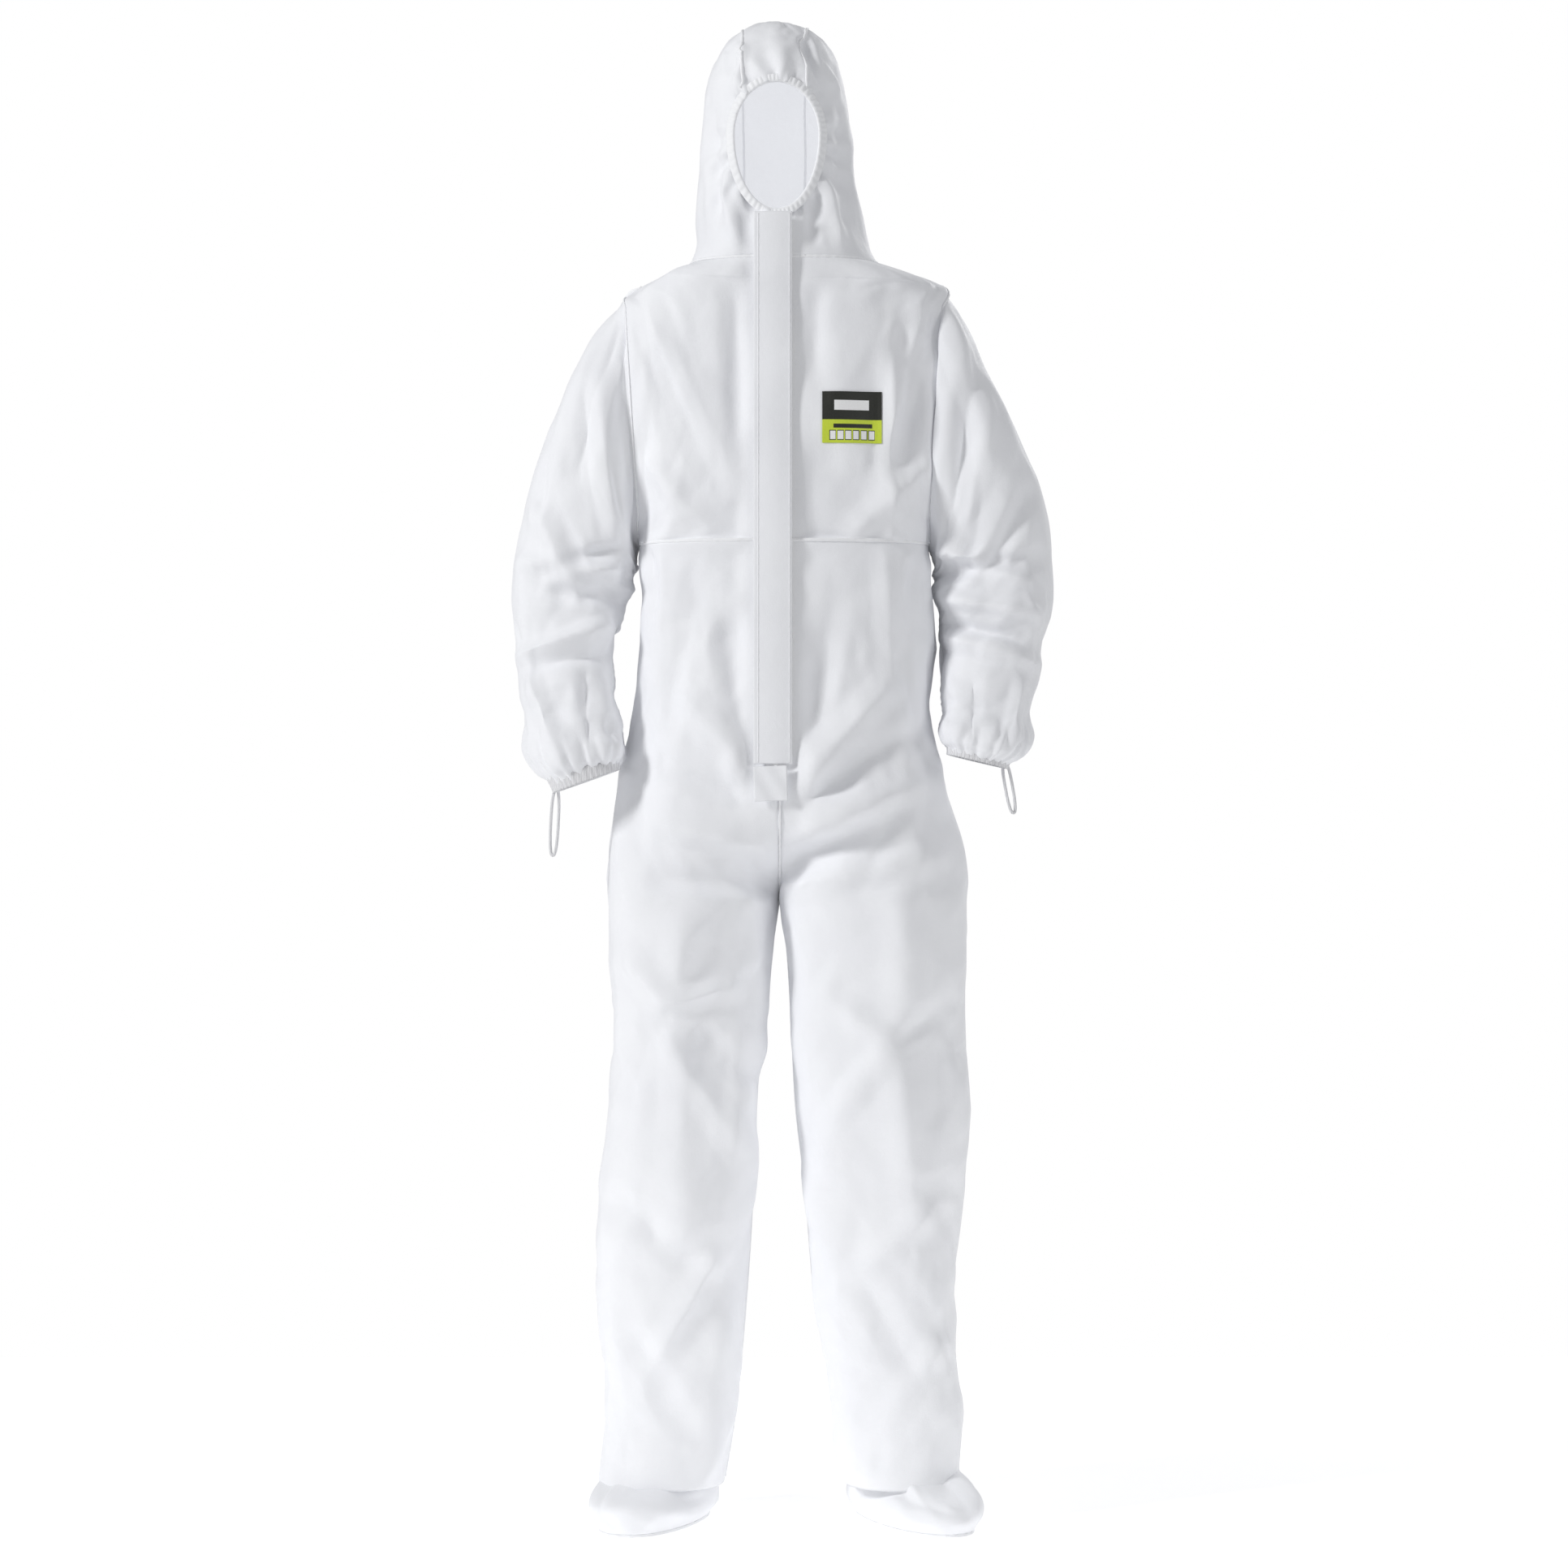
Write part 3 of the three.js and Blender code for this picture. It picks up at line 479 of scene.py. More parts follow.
# The fabric lets light through, so its inside is never dark. Here that light is painted: the inside glows by
# its own emission, a painted glow that stands in for light coming through the fabric.
INNER_PAINTED_GLOW = nonwoven("nonwoven_inner_painted_glow", (0.84, 0.845, 0.86), (0.80, 0.805, 0.82), 0.4, glow=0.24)
SEAM = nonwoven("nonwoven_seam", (0.93, 0.935, 0.95), (0.90, 0.905, 0.925), 0.25)
BOOT = nonwoven("nonwoven_bootie", (0.885, 0.89, 0.905), (0.855, 0.86, 0.875), 0.7)
ELASTIC = ribbed("elastic_band", (0.80, 0.80, 0.81), (0.66, 0.66, 0.68), 160.0)
TAPE = ribbed("zip_tape_weave", (0.84, 0.84, 0.85), (0.74, 0.74, 0.76), 420.0)
NYLON = plain("zip_nylon", (0.86, 0.86, 0.85), (0.80, 0.80, 0.79), 0.35, 300.0, 0.0002)
RELEASE = plain("release_paper", (0.93, 0.90, 0.78), (0.88, 0.85, 0.72), 0.45, 120.0, 0.0003)
PRINT_BLACK = plain("print_black", (0.020, 0.021, 0.016), (0.013, 0.014, 0.010), 0.55, 500.0, 0.0002)
PRINT_LIME = plain("print_lime", (0.62, 0.74, 0.055), (0.56, 0.68, 0.045), 0.55, 500.0, 0.0002)
PRINT_WHITE = plain("print_white", (0.90, 0.90, 0.90), (0.86, 0.86, 0.86), 0.55, 500.0, 0.0002)

# ---- Panels ----
panels = {}


def add_panel(name, points, wrap=False):
    panels[name] = Panel(name, points, wrap)


def seam_rows(count):
    """Row positions between the waist and the shoulder that are close together at both ends."""
    return (1 - np.cos(np.linspace(0, np.pi, count + 1))) / 2


ARM_ROWS = 50
TOP_ROWS = 4
z_rows = np.concatenate([
    WAIST_Z + (SHOULDER_Z - WAIST_Z) * seam_rows(ARM_ROWS),
    np.linspace(SHOULDER_Z, NECK_Z, TOP_ROWS + 1)[1:],
])
row_share = (z_rows - WAIST_Z) / (NECK_Z - WAIST_Z)


def edge_turn(side):
    def turn(z):
        inside = armhole_turn(side, np.minimum(z, SHOULDER_Z))
        return np.where(z >= SHOULDER_Z, 0.5 if side < 0 else 0.0, inside)

    return turn


def zip_edge_turn(side):
    return lambda z: trunk_turn(ZIP_X + side * ZIP_GAP, z)


HALF_COLUMNS, BACK_COLUMNS = 36, 66
TRUNK_PANELS = {
    "front_left": (edge_turn(1), zip_edge_turn(1), HALF_COLUMNS),
    "front_right": (zip_edge_turn(-1), edge_turn(-1), HALF_COLUMNS),
    "back": (lambda z: 1 - edge_turn(-1)(z), lambda z: 1 - edge_turn(1)(z), BACK_COLUMNS),
}
for name, (start, end, columns) in TRUNK_PANELS.items():
    add_panel(name, grid(trunk, (start, end), (WAIST_Z, NECK_Z), columns, len(z_rows) - 1, row_share))

SLEEVE_COLUMNS = 2 * ARM_ROWS
SLEEVE_STEPS = np.concatenate([np.linspace(0, 5, 50), np.linspace(5, 9, 50)[1:]]) / 9
for name in SIDES:
    points = grid(sleeve(name), (0, 1), (0, 9), SLEEVE_COLUMNS, len(SLEEVE_STEPS) - 1, SLEEVE_STEPS)
    add_panel(f"sleeve_{name}", points, wrap=True)

LEG_COLUMNS, LEG_ROWS = 84, 152
HEM_Z = 0.048
ZIP_STEP_Z = (0.905, 0.925)  # where the front edge steps over
for name, side in SIDES.items():
    surface = leg(name)

    def zip_edge(z, side=side):
        """Above the fork the front edge steps back from the centre to the zip."""
        left, right = np.moveaxis(read_table(TRUNK, z), -1, 0)[:2]
        reach = (left if side > 0 else right) - CENTRE_X
        across = np.clip((ZIP_X + side * ZIP_GAP - CENTRE_X) / reach, 0, 1)
        return np.arcsin(across ** (TRUNK_SQUARENESS / 2)) / np.pi * smooth(*ZIP_STEP_Z, z)

    add_panel(f"leg_{name}", grid(surface, (zip_edge, 1), (HEM_Z, WAIST_Z), LEG_COLUMNS, LEG_ROWS))

HOOD_COLUMNS, HOOD_ROWS = 128, 73
even = np.linspace(0, 1, HOOD_ROWS + 1)
hood_rows = 0.45 * even + 0.55 * (1 - (1 - even) ** 2.4)  # closer together towards the crown
add_panel("hood", grid(hood, (0, 1), (NECK_Z, CROWN_Z), HOOD_COLUMNS, HOOD_ROWS, hood_rows), wrap=True)
BOOTIE_COLUMNS, BOOTIE_ROWS = 90, 32
BOOTIE_Z = (0.0032, 0.150)
for name in SIDES:
    add_panel(f"bootie_{name}", grid(bootie(name), (0, 1), BOOTIE_Z, BOOTIE_COLUMNS, BOOTIE_ROWS), wrap=True)

# ---- Creases ----
# Each is (x, z, x, z, half width, height) in millimetres: a straight fold, proud where height is positive.
FRONT_CREASES = [
    # from the tab and the crotch up to the hips
    (8, 892, 120, 1020, 26, 10), (16, 876, 150, 965, 24, -9), (10, 850, 165, 905, 24, 9),
    (-4, 800, 130, 860, 22, -8), (4, 780, 180, 815, 24, 8), (-30, 905, -120, 1010, 26, 8),
    (-34, 880, -150, 935, 24, -7), (-20, 830, -150, 860, 24, 8), (-10, 785, -150, 790, 22, -7),
    (30, 960, 60, 1120, 24, -6), (-45, 960, -75, 1110, 24, -6),
    # packing folds down the chest and legs
    (129, 1410, 129, 1190, 18, 4), (118, 1190, 132, 1010, 18, 4), (-123, 600, -126, 350, 30, 6),
    (132, 590, 160, 370, 30, 6), (140, 760, 142, 600, 26, 5), (-120, 740, -130, 640, 26, 5),
    # chest folds from the shoulders and the armpits
    (-165, 1480, -95, 1300, 24, 6), (-150, 1420, -80, 1260, 22, -6), (-172, 1300, -90, 1210, 20, 5),
    (168, 1490, 130, 1330, 22, 6), (150, 1470, 150, 1300, 20, -6), (172, 1290, 80, 1205, 22, 6),
    (-60, 1500, -50, 1300, 22, -5), (40, 1500, 34, 1400, 18, -4),
    # knees
    (-148, 632, -60, 660, 22, 7), (-148, 628, -100, 560, 22, -6), (-150, 625, -38, 430, 24, 7),
    (-145, 640, -190, 700, 22, 6), (-100, 600, -34, 540, 20, -6), (130, 590, 50, 650, 22, 6),
    (130, 585, 200, 640, 22, -6), (125, 580, 60, 500, 22, 6),
    # shins
    (-200, 400, -90, 300, 24, -5), (-80, 330, -170, 180, 26, 6), (-190, 240, -110, 110, 24, -5),
    (190, 400, 90, 310, 24, 5), (80, 330, 170, 170, 26, -5), (190, 230, 110, 110, 24, 6),
]
SLEEVE_CREASES = {
    "right": [
        (-205, 1470, -250, 1280, 22, -6), (-225, 1400, -205, 1220, 22, 7),
        (-200, 1190, -300, 1160, 14, -7), (-205, 1165, -330, 1175, 14, 8),
        (-210, 1130, -310, 1140, 14, -7), (-220, 1095, -325, 1060, 16, 8),
        (-215, 1060, -300, 1050, 14, -6), (-300, 1240, -250, 1130, 18, 6),
        (-310, 1040, -270, 930, 16, 5), (-240, 1040, -235, 930, 16, -4),
    ],
    "left": [
        (205, 1470, 250, 1290, 22, 6), (235, 1420, 205, 1240, 22, -6), (195, 1190, 300, 1150, 14, 8),
        (190, 1160, 320, 1180, 14, -8), (200, 1130, 310, 1110, 14, 8), (195, 1100, 290, 1080, 14, -7),
        (205, 1080, 310, 1050, 16, 6), (300, 1260, 240, 1150, 18, -6), (290, 1030, 270, 950, 14, 5),
        (230, 1030, 225, 960, 14, -4),
    ],
}
HOOD_CREASES = [
    (-75, 1625, -50, 1550, 12, 6), (-55, 1640, -20, 1560, 10, -5), (50, 1640, 70, 1550, 12, 6),
    (40, 1620, 35, 1560, 10, -5), (-90, 1720, -85, 1580, 12, -5), (70, 1730, 76, 1590, 12, -5),
    (26, 1812, 46, 1745, 9, -7), (-50, 1800, -58, 1740, 9, 4), (-20, 1600, -10, 1560, 10, 4),
]


FLAP_X = -0.012  # the middle of the storm flap


def outward_normals(panel):
    """Directions away from the garment's inside."""
    normal = panel.normals()
    middle = panel.points.mean(axis=1, keepdims=True)
    if panel.name in ("front_left", "front_right", "back"):
        middle = middle * np.array([0.0, 0.0, 1.0])
    return normal * np.sign(np.sum((panel.points - middle) * normal))


def panel_distances(panel):
    """How far each point is across and along the panel, and the distance all the way across."""
    rows, columns = panel.points.shape[:2]
    row_step = np.linalg.norm(np.diff(panel.points, axis=0), axis=-1).mean()
    column_step = np.linalg.norm(np.diff(panel.points, axis=1), axis=-1).mean()
    across = np.arange(columns)[None, :] * column_step * np.ones((rows, 1))
    along = np.arange(rows)[:, None] * row_step * np.ones(columns)
    return across, along, columns * column_step


def border_fade(panel, width):
    """0 on the seams, rising to 1 at width from them, and low behind the storm flap and its tab."""
    c, r, _ = panel_distances(panel)
    fade = np.minimum(r, r.max() - r)
    if not panel.wrap:
        fade = np.minimum(fade, np.minimum(c, c.max() - c))
    x, y, z = np.moveaxis(panel.points, -1, 0)
    across_flap = smooth(0.050, 0.026, np.abs(x - FLAP_X))
    under_flap = across_flap * (y < 0) * smooth(0.835, 0.860, z) * (z < 1.60)
    return smooth(0, width, fade) * (1 - 0.92 * under_flap)


def fold(panel, creases, facing=-1, gain=1.0):
    """Presses straight folds into one side of a panel. facing is -1 for the front and 1 for the back."""
    points = panel.points
    side = smooth(-0.005, 0.045, facing * points[..., 1])
    shift = np.zeros(points.shape[:2])
    for x0, z0, x1, z1, half_width, height in np.array(creases) / 1000:
        start, run = np.array([x0, z0]), np.array([x1 - x0, z1 - z0])
        place = points[..., [0, 2]] - start
        share = place @ run / (run @ run)
        nearest = np.clip(share, 0, 1)[..., None] * run
        distance = np.linalg.norm(place - nearest, axis=-1)
        taper = smooth(-0.25, 0.2, share) * smooth(1.35, 0.6, share)
        shift += gain * height * np.maximum(0, 1 - distance / half_width) * taper
    panel.points = points + outward_normals(panel) * (shift * side * border_fade(panel, 0.016))[..., None]


def facet_field(u, v, low_u, high_u, spacing, seed):
    """Piecewise-flat random heights from -1 to 1, with straight creases between them, like crushed paper."""
    random = np.random.default_rng(seed)
    count_u = int((high_u - low_u) / spacing) + 5
    count_v = int((v.max() - v.min()) / spacing) + 5
    sites = []
    for i in range(count_u):
        for j in range(count_v):
            jitter = random.uniform(-0.45, 0.45, 2)
            site_u = low_u + (i - 2 + jitter[0]) * spacing
            site_v = v.min() + (j - 2 + jitter[1]) * spacing
            sites.append(Vector((site_u, site_v)))
    heights = random.uniform(-1, 1, len(sites))
    corners, _, triangles, origins, _, _ = delaunay_2d_cdt(sites, [], [], 0, 1e-7)
    surface = [(corner.x, corner.y, float(heights[origin[0]])) for corner, origin in zip(corners, origins)]
    tree = BVHTree.FromPolygons(surface, triangles)
    down = Vector((0, 0, -1))
    found = [tree.ray_cast(Vector((a, b, 5.0)), down)[0] for a, b in zip(u.ravel(), v.ravel())]
    return np.array([place.z if place else 0.0 for place in found]).reshape(u.shape)


def crush(panel, layers, seed):
    """Adds crushed-paper creases. Each layer is (spacing, height, stretch along the panel, slant)."""
    points = panel.points
    u, v, around = panel_distances(panel)
    low, high = -0.3 * around, around * 1.6
    shift = np.zeros(u.shape)
    for k, (spacing, height, stretch, slant) in enumerate(layers):
        layer_seed = seed + 17 * k
        field = facet_field(u + slant * v * (not panel.wrap), v / stretch, low, high, spacing, layer_seed)
        if panel.wrap:
            # The start again, one turn on, so that the facets meet where the panel closes.
            again = facet_field(u - around, v / stretch, low, high, spacing, layer_seed)
            share = smooth(0.75, 1.0, u / around)
            field = field * (1 - share) + again * share
        shift += field * height
    panel.points = points + outward_normals(panel) * (shift * border_fade(panel, 0.022))[..., None]


def mirrored(creases):
    """The same folds for the back, turned left to right."""
    return [(-x0, z0, -x1, z1, width, -height) for x0, z0, x1, z1, width, height in creases]


def gather_cuff(panel):
    """Bunches the last of a sleeve into its elastic."""
    rows, columns = panel.points.shape[:2]
    step = (SLEEVE_STEPS * 9)[:, None]
    turn = np.arange(columns)[None, :] / columns * 2 * np.pi
    wave = np.sin(turn * 21 + 1.4 * np.sin(turn * 3) + 0.8 * step) + 0.5 * np.sin(turn * 37 + 2.0)
    reach = smooth(7.3, 8.6, step) * (1 - 0.45 * smooth(8.6, 9.0, step))
    puff = 0.006 * np.exp(-((step - 8.15) / 0.45) ** 2) - 0.004 * smooth(8.5, 8.75, step)
    normal = outward_normals(panel)
    panel.points = panel.points + normal * (0.0020 * wave * reach + puff)[..., None]


CRUSH_BODY = [(0.100, 0.0085, 1.8, 0.25), (0.046, 0.0056, 1.5, 0.0), (0.021, 0.0020, 1.2, 0.0)]
CRUSH_SLEEVE = [(0.080, 0.0080, 1.1, 0.0), (0.038, 0.0052, 1.0, 0.0), (0.018, 0.0016, 1.0, 0.0)]
CRUSH_HOOD = [(0.060, 0.0044, 2.0, 0.0), (0.026, 0.0026, 1.7, 0.0), (0.013, 0.0008, 1.4, 0.0)]
CRUSH_BOOTIE = [(0.040, 0.0075, 0.9, 0.0), (0.018, 0.0026, 1.0, 0.0)]
for number, name in enumerate(("front_left", "front_right", "back", "leg_right", "leg_left")):
    fold(panels[name], FRONT_CREASES, gain=1.7)
    fold(panels[name], mirrored(FRONT_CREASES), 1, 1.6)
    crush(panels[name], CRUSH_BODY, SEED + number)
for number, name in enumerate(SIDES):
    sleeve_panel = panels[f"sleeve_{name}"]
    fold(sleeve_panel, SLEEVE_CREASES[name], gain=1.9)
    other = SLEEVE_CREASES["left" if name == "right" else "right"]
    fold(sleeve_panel, mirrored(other), 1, 1.8)
    crush(sleeve_panel, CRUSH_SLEEVE, SEED + 40 + number)
    gather_cuff(sleeve_panel)
    crush(panels[f"bootie_{name}"], CRUSH_BOOTIE, SEED + 60 + number)
fold(panels["hood"], HOOD_CREASES, gain=1.7)
crush(panels["hood"], CRUSH_HOOD, SEED + 80)


# ---- Fabric objects ----
def finish_fabric(obj, body=None, levels=1, thickness=FABRIC_THICKNESS):
    """Smooths a fabric mesh once, thickens it inwards, and applies both."""
    if levels:
        subdivision = obj.modifiers.new("smooth", "SUBSURF")
        subdivision.levels = subdivision.render_levels = levels
        subdivision.boundary_smooth = "PRESERVE_CORNERS"
    if thickness:
        solid = obj.modifiers.new("thickness", "SOLIDIFY")
        solid.thickness = thickness
        solid.offset = -1
        # The inner faces take the inside material, which glows with painted light.
        if obj.data.materials[0] == FABRIC:
            if len(obj.data.materials) == 1:
                obj.data.materials.append(INNER_PAINTED_GLOW)
            solid.material_offset = 1
    graph = bpy.context.evaluated_depsgraph_get()
    mesh = bpy.data.meshes.new_from_object(obj.evaluated_get(graph))
    obj.modifiers.clear()
    obj.data = mesh
    mesh.polygons.foreach_set("use_smooth", [True] * len(mesh.polygons))
    if body:
        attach(obj, body)
    return obj


def outward_faces(obj, centre_of):
    """Turns the faces of an open sheet so that they point away from the garment's inside."""
    mesh = obj.data
    votes = 0.0
    for polygon in mesh.polygons:
        votes += polygon.normal.dot(polygon.center - centre_of(polygon.center)) * polygon.area
    if votes < 0:
        mesh.flip_normals()


def panel_object(panel, centre_of, material=FABRIC):
    obj = mesh_object(panel.name, panel.points.reshape(-1, 3), panel.faces, material)
    outward_faces(obj, centre_of)
    return obj


def on_trunk_axis(point):
    return Vector((0, 0, point.z))


def leg_axis(side):
    return lambda point: Vector((side * 0.12, 0, point.z))


def sleeve_axis(side):
    heights, reaches = [0.9, 1.1, 1.3, 1.5], [0.24, 0.27, 0.24, 0.19]
    return lambda point: Vector((side * np.interp(point.z, heights, reaches), 0, point.z))


def foot_axis(side):
    return lambda point: Vector((side * 0.16, -0.02, point.z))


pieces = {}
for name in ("front_left", "front_right", "back"):
    pieces[name] = finish_fabric(panel_object(panels[name], on_trunk_axis), "trunk")

for name, side in SIDES.items():
    trousers = finish_fabric(panel_object(panels[f"leg_{name}"], leg_axis(side)))
    arm = finish_fabric(panel_object(panels[f"sleeve_{name}"], sleeve_axis(side)))
    foot = finish_fabric(panel_object(panels[f"bootie_{name}"], foot_axis(side)), f"shin_{name}")
    pieces[f"leg_{name}"], pieces[f"sleeve_{name}"], pieces[f"bootie_{name}"] = trousers, arm, foot


# ---- Small parts laid on the fabric ----
def resample(points, spacing, closed=False):
    points = np.asarray(points, float)
    if closed:
        points = np.vstack([points, points[:1]])
    lengths = np.linalg.norm(np.diff(points, axis=0), axis=1)
    along = np.concatenate([[0], np.cumsum(lengths)])
    count = max(3, int(along[-1] / spacing))
    places = np.linspace(0, along[-1], count + 1)
    if closed:
        places = places[:-1]
    return np.stack([np.interp(places, along, points[:, k]) for k in range(3)], axis=1)


def directions(points, closed):
    if closed:
        run = np.roll(points, -1, axis=0) - np.roll(points, 1, axis=0)
    else:
        run = np.gradient(points, axis=0)
    return run / np.maximum(np.linalg.norm(run, axis=1, keepdims=True), 1e-9)


def sweep(name, points, outward, half_width, height, material, closed=False, sides=8, pucker=0.0):
    """A soft bead along a line. outward gives each point's direction away from the fabric."""
    run = directions(points, closed)
    up = outward - np.sum(outward * run, axis=1, keepdims=True) * run
    up /= np.maximum(np.linalg.norm(up, axis=1, keepdims=True), 1e-9)
    across = np.cross(run, up)
    count = len(points)
    wave = 1 + pucker * np.sin(np.arange(count) * 1.9 + 1.3 * np.sin(np.arange(count) * 0.37))
    vertices = []
    for k in range(sides):
        angle = 2 * math.pi * k / sides
        offset = across * (half_width * math.cos(angle)) + up * (height * math.sin(angle) * wave)[:, None]
        vertices.append(points + offset)
    vertices = np.stack(vertices, axis=1).reshape(-1, 3)
    faces = []
    for i in range(count if closed else count - 1):
        j = (i + 1) % count
        for k in range(sides):
            m = (k + 1) % sides
            faces.append((i * sides + k, i * sides + m, j * sides + m, j * sides + k))
    if not closed:
        faces.append(tuple(range(sides - 1, -1, -1)))
        faces.append(tuple((count - 1) * sides + k for k in range(sides)))
    return mesh_object(name, vertices, faces, material)


def join(target, *others):
    """Adds other meshes and their materials to a piece."""
    merged = bmesh.new()
    merged.from_mesh(target.data)
    for other in others:
        material = other.data.materials[0]
        slots = list(target.data.materials)
        if material not in slots:
            target.data.materials.append(material)
            slots.append(material)
        other.data.polygons.foreach_set("material_index", [slots.index(material)] * len(other.data.polygons))
        merged.from_mesh(other.data)
        bpy.data.objects.remove(other)
    merged.to_mesh(target.data)
    merged.free()
    return target


def sheet_object(name, points, material, wrap=False, thickness=0.0, levels=0):
    """A gridded strip or ring, made into an object."""
    if wrap:
        points = points[:, :-1]
    faces = quads(points.shape[0] - 1, points.shape[1] - (0 if wrap else 1), wrap)
    obj = mesh_object(name, points.reshape(-1, 3), faces, material)
    return finish_fabric(obj, None, levels, thickness) if thickness or levels else obj


def from_axis(points, x=0.0, y=0.0):
    """The level direction from an upright line to each point."""
    away = np.array(points, float)
    away[:, 0] -= x
    away[:, 1] -= y
    away[:, 2] = 0
    return away / np.maximum(np.linalg.norm(away, axis=1, keepdims=True), 1e-9)


def surface_of(obj):
    corners = [vertex.co.copy() for vertex in obj.data.vertices]
    return BVHTree.FromPolygons(corners, [tuple(polygon.vertices) for polygon in obj.data.polygons])


def settle(line, surface, away):
    """Lays a line on a surface, and gives its points and outward directions. away tells which side is out."""
    places, normals = [], []
    for point, direction in zip(line, away):
        place, normal, _, _ = surface.find_nearest(Vector(point))
        places.append(place)
        normals.append(normal if normal.dot(Vector(direction)) > 0 else -normal)
    return np.array(places), np.array(normals)


# ---- Hood ----
HOOD_FACE = {"x": -0.009, "z": 1.690, "half_width": 0.0525, "up": 0.064, "down": 0.093}
HOOD_FRONT_Y, HOOD_NECK_Z = -0.02, 1.56  # the face opening is cut in front of one and above the other


def face_measure(x, z):
    """1 on the face opening's edge, less inside it."""
    across = (x - HOOD_FACE["x"]) / HOOD_FACE["half_width"]
    height = z - HOOD_FACE["z"]
    rise = np.where(height > 0, height / HOOD_FACE["up"], height / HOOD_FACE["down"])
    return np.hypot(across, rise)


def face_edge(angle, grow=0.0):
    """A place on the face opening's edge, moved out by grow."""
    x = HOOD_FACE["x"] + (HOOD_FACE["half_width"] + grow) * np.cos(angle)
    rise = np.where(np.sin(angle) > 0, HOOD_FACE["up"] + grow, HOOD_FACE["down"] + grow)
    return x, HOOD_FACE["z"] + rise * np.sin(angle)


def hood_front_y(x, z):
    return hood(hood_turn(x, z), z)[..., 1]


def vertex_values(obj, kind):
    values = np.empty(len(obj.data.vertices) * 3)
    obj.data.vertices.foreach_get(kind, values)
    return values.reshape(-1, 3)


def set_points(obj, points):
    obj.data.vertices.foreach_set("co", np.asarray(points, float).reshape(-1))
    obj.data.update()


def folds_round_face(obj):
    """Gathers that run out from the elastic round the face, tighter over the brow."""
    points, normals = vertex_values(obj, "co"), vertex_values(obj, "normal")
    x, z = points[:, 0], points[:, 2]
    measure = face_measure(x, z)
    angle = np.arctan2(z - HOOD_FACE["z"], x - HOOD_FACE["x"])
    fine = np.sin(angle * 34 + 2.2 * np.sin(angle * 5) + 4 * measure)
    broad = np.sin(angle * 13 + 1.7 * np.sin(angle * 3 + 1) - 3 * measure)
    near = np.exp(-((measure - 1.0) / 0.20) ** 2)
    wide = smooth(2.3, 1.05, measure) * smooth(0.9, 1.1, measure)
    front = smooth(0.0, -0.05, points[:, 1])
    shift = (0.0015 * fine * near + 0.0030 * broad * wide) * front
    set_points(obj, points + normals * shift[:, None])


def cut_face(obj):
    """Opens the hood's front along the face opening and snaps the edge to it."""
    work = bmesh.new()
    work.from_mesh(obj.data)
    gone = []
    for face in work.faces:
        centre = face.calc_center_median()
        if centre.y < HOOD_FRONT_Y and face_measure(centre.x, centre.z) < 1:
            gone.append(face)
    bmesh.ops.delete(work, geom=gone, context="FACES")
    for vertex in work.verts:
        if vertex.is_boundary and vertex.co.y < HOOD_FRONT_Y and vertex.co.z > HOOD_NECK_Z:
            measure = face_measure(vertex.co.x, vertex.co.z)
            old = float(hood_front_y(np.array(vertex.co.x), np.array(vertex.co.z)))
            x = HOOD_FACE["x"] + (vertex.co.x - HOOD_FACE["x"]) / measure
            z = HOOD_FACE["z"] + (vertex.co.z - HOOD_FACE["z"]) / measure
            new = float(hood_front_y(np.array(x), np.array(z)))
            vertex.co = (x, vertex.co.y + new - old, z)
    work.to_mesh(obj.data)
    work.free()


def hood_axis(point):
    return Vector((-0.008, 0.01, point.z - 0.01))


def cap_crown(panel):
    """Closes the small ring at the crown."""
    ring_start = panel.rows * panel.columns
    panel.faces.append(tuple(range(ring_start, ring_start + panel.columns)))


def hood_blend(obj):
    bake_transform(obj)


cap_crown(panels["hood"])
hood_piece = finish_fabric(panel_object(panels["hood"], hood_axis), None, 1, 0)
folds_round_face(hood_piece)
hood_surface = surface_of(hood_piece)
cut_face(hood_piece)
hood_piece = finish_fabric(hood_piece, None, 0, FABRIC_THICKNESS)

HOOD_SEAM_X, HOOD_SEAM_HALF = -0.012, 0.039
HOOD_SEAM_Z = (1.545, 1.828)
HOOD_MIDDLE = np.array([HOOD_SEAM_X, 0.01, 1.69])
BROW_Z = 1.745  # where the seams end on the front


def hood_seam_line(side):
    """Over the crown and down the back, at one side of the centre panel."""
    x = HOOD_SEAM_X + side * HOOD_SEAM_HALF
    heights = np.linspace(*HOOD_SEAM_Z, 60)
    widths = read_table(HOOD, heights)
    reach = np.where(side > 0, widths[:, 0], widths[:, 1])
    kept = heights[np.abs(x) < np.abs(reach) - 0.004]
    back = hood(1 - hood_turn(np.full_like(kept, x), kept), kept)
    high = kept[kept > BROW_Z]
    front = hood(hood_turn(np.full_like(high, x), high), high)[::-1]
    return np.vstack([back, front])


hood_seams = []
for side in (-1, 1):
    line = resample(hood_seam_line(side), 0.003)
    line, away = settle(line, hood_surface, line - HOOD_MIDDLE)
    hood_seams.append(sweep("hood_seam", line, away, 0.0018, 0.0016, SEAM, pucker=0.2))
join(hood_piece, *hood_seams)
hood_piece.name = "hood_fabric"
hood_blend(hood_piece)
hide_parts("hood_neck_right", "hood_neck_left", "hood_side_right", "hood_side_left",
            "hood_centre_panel")

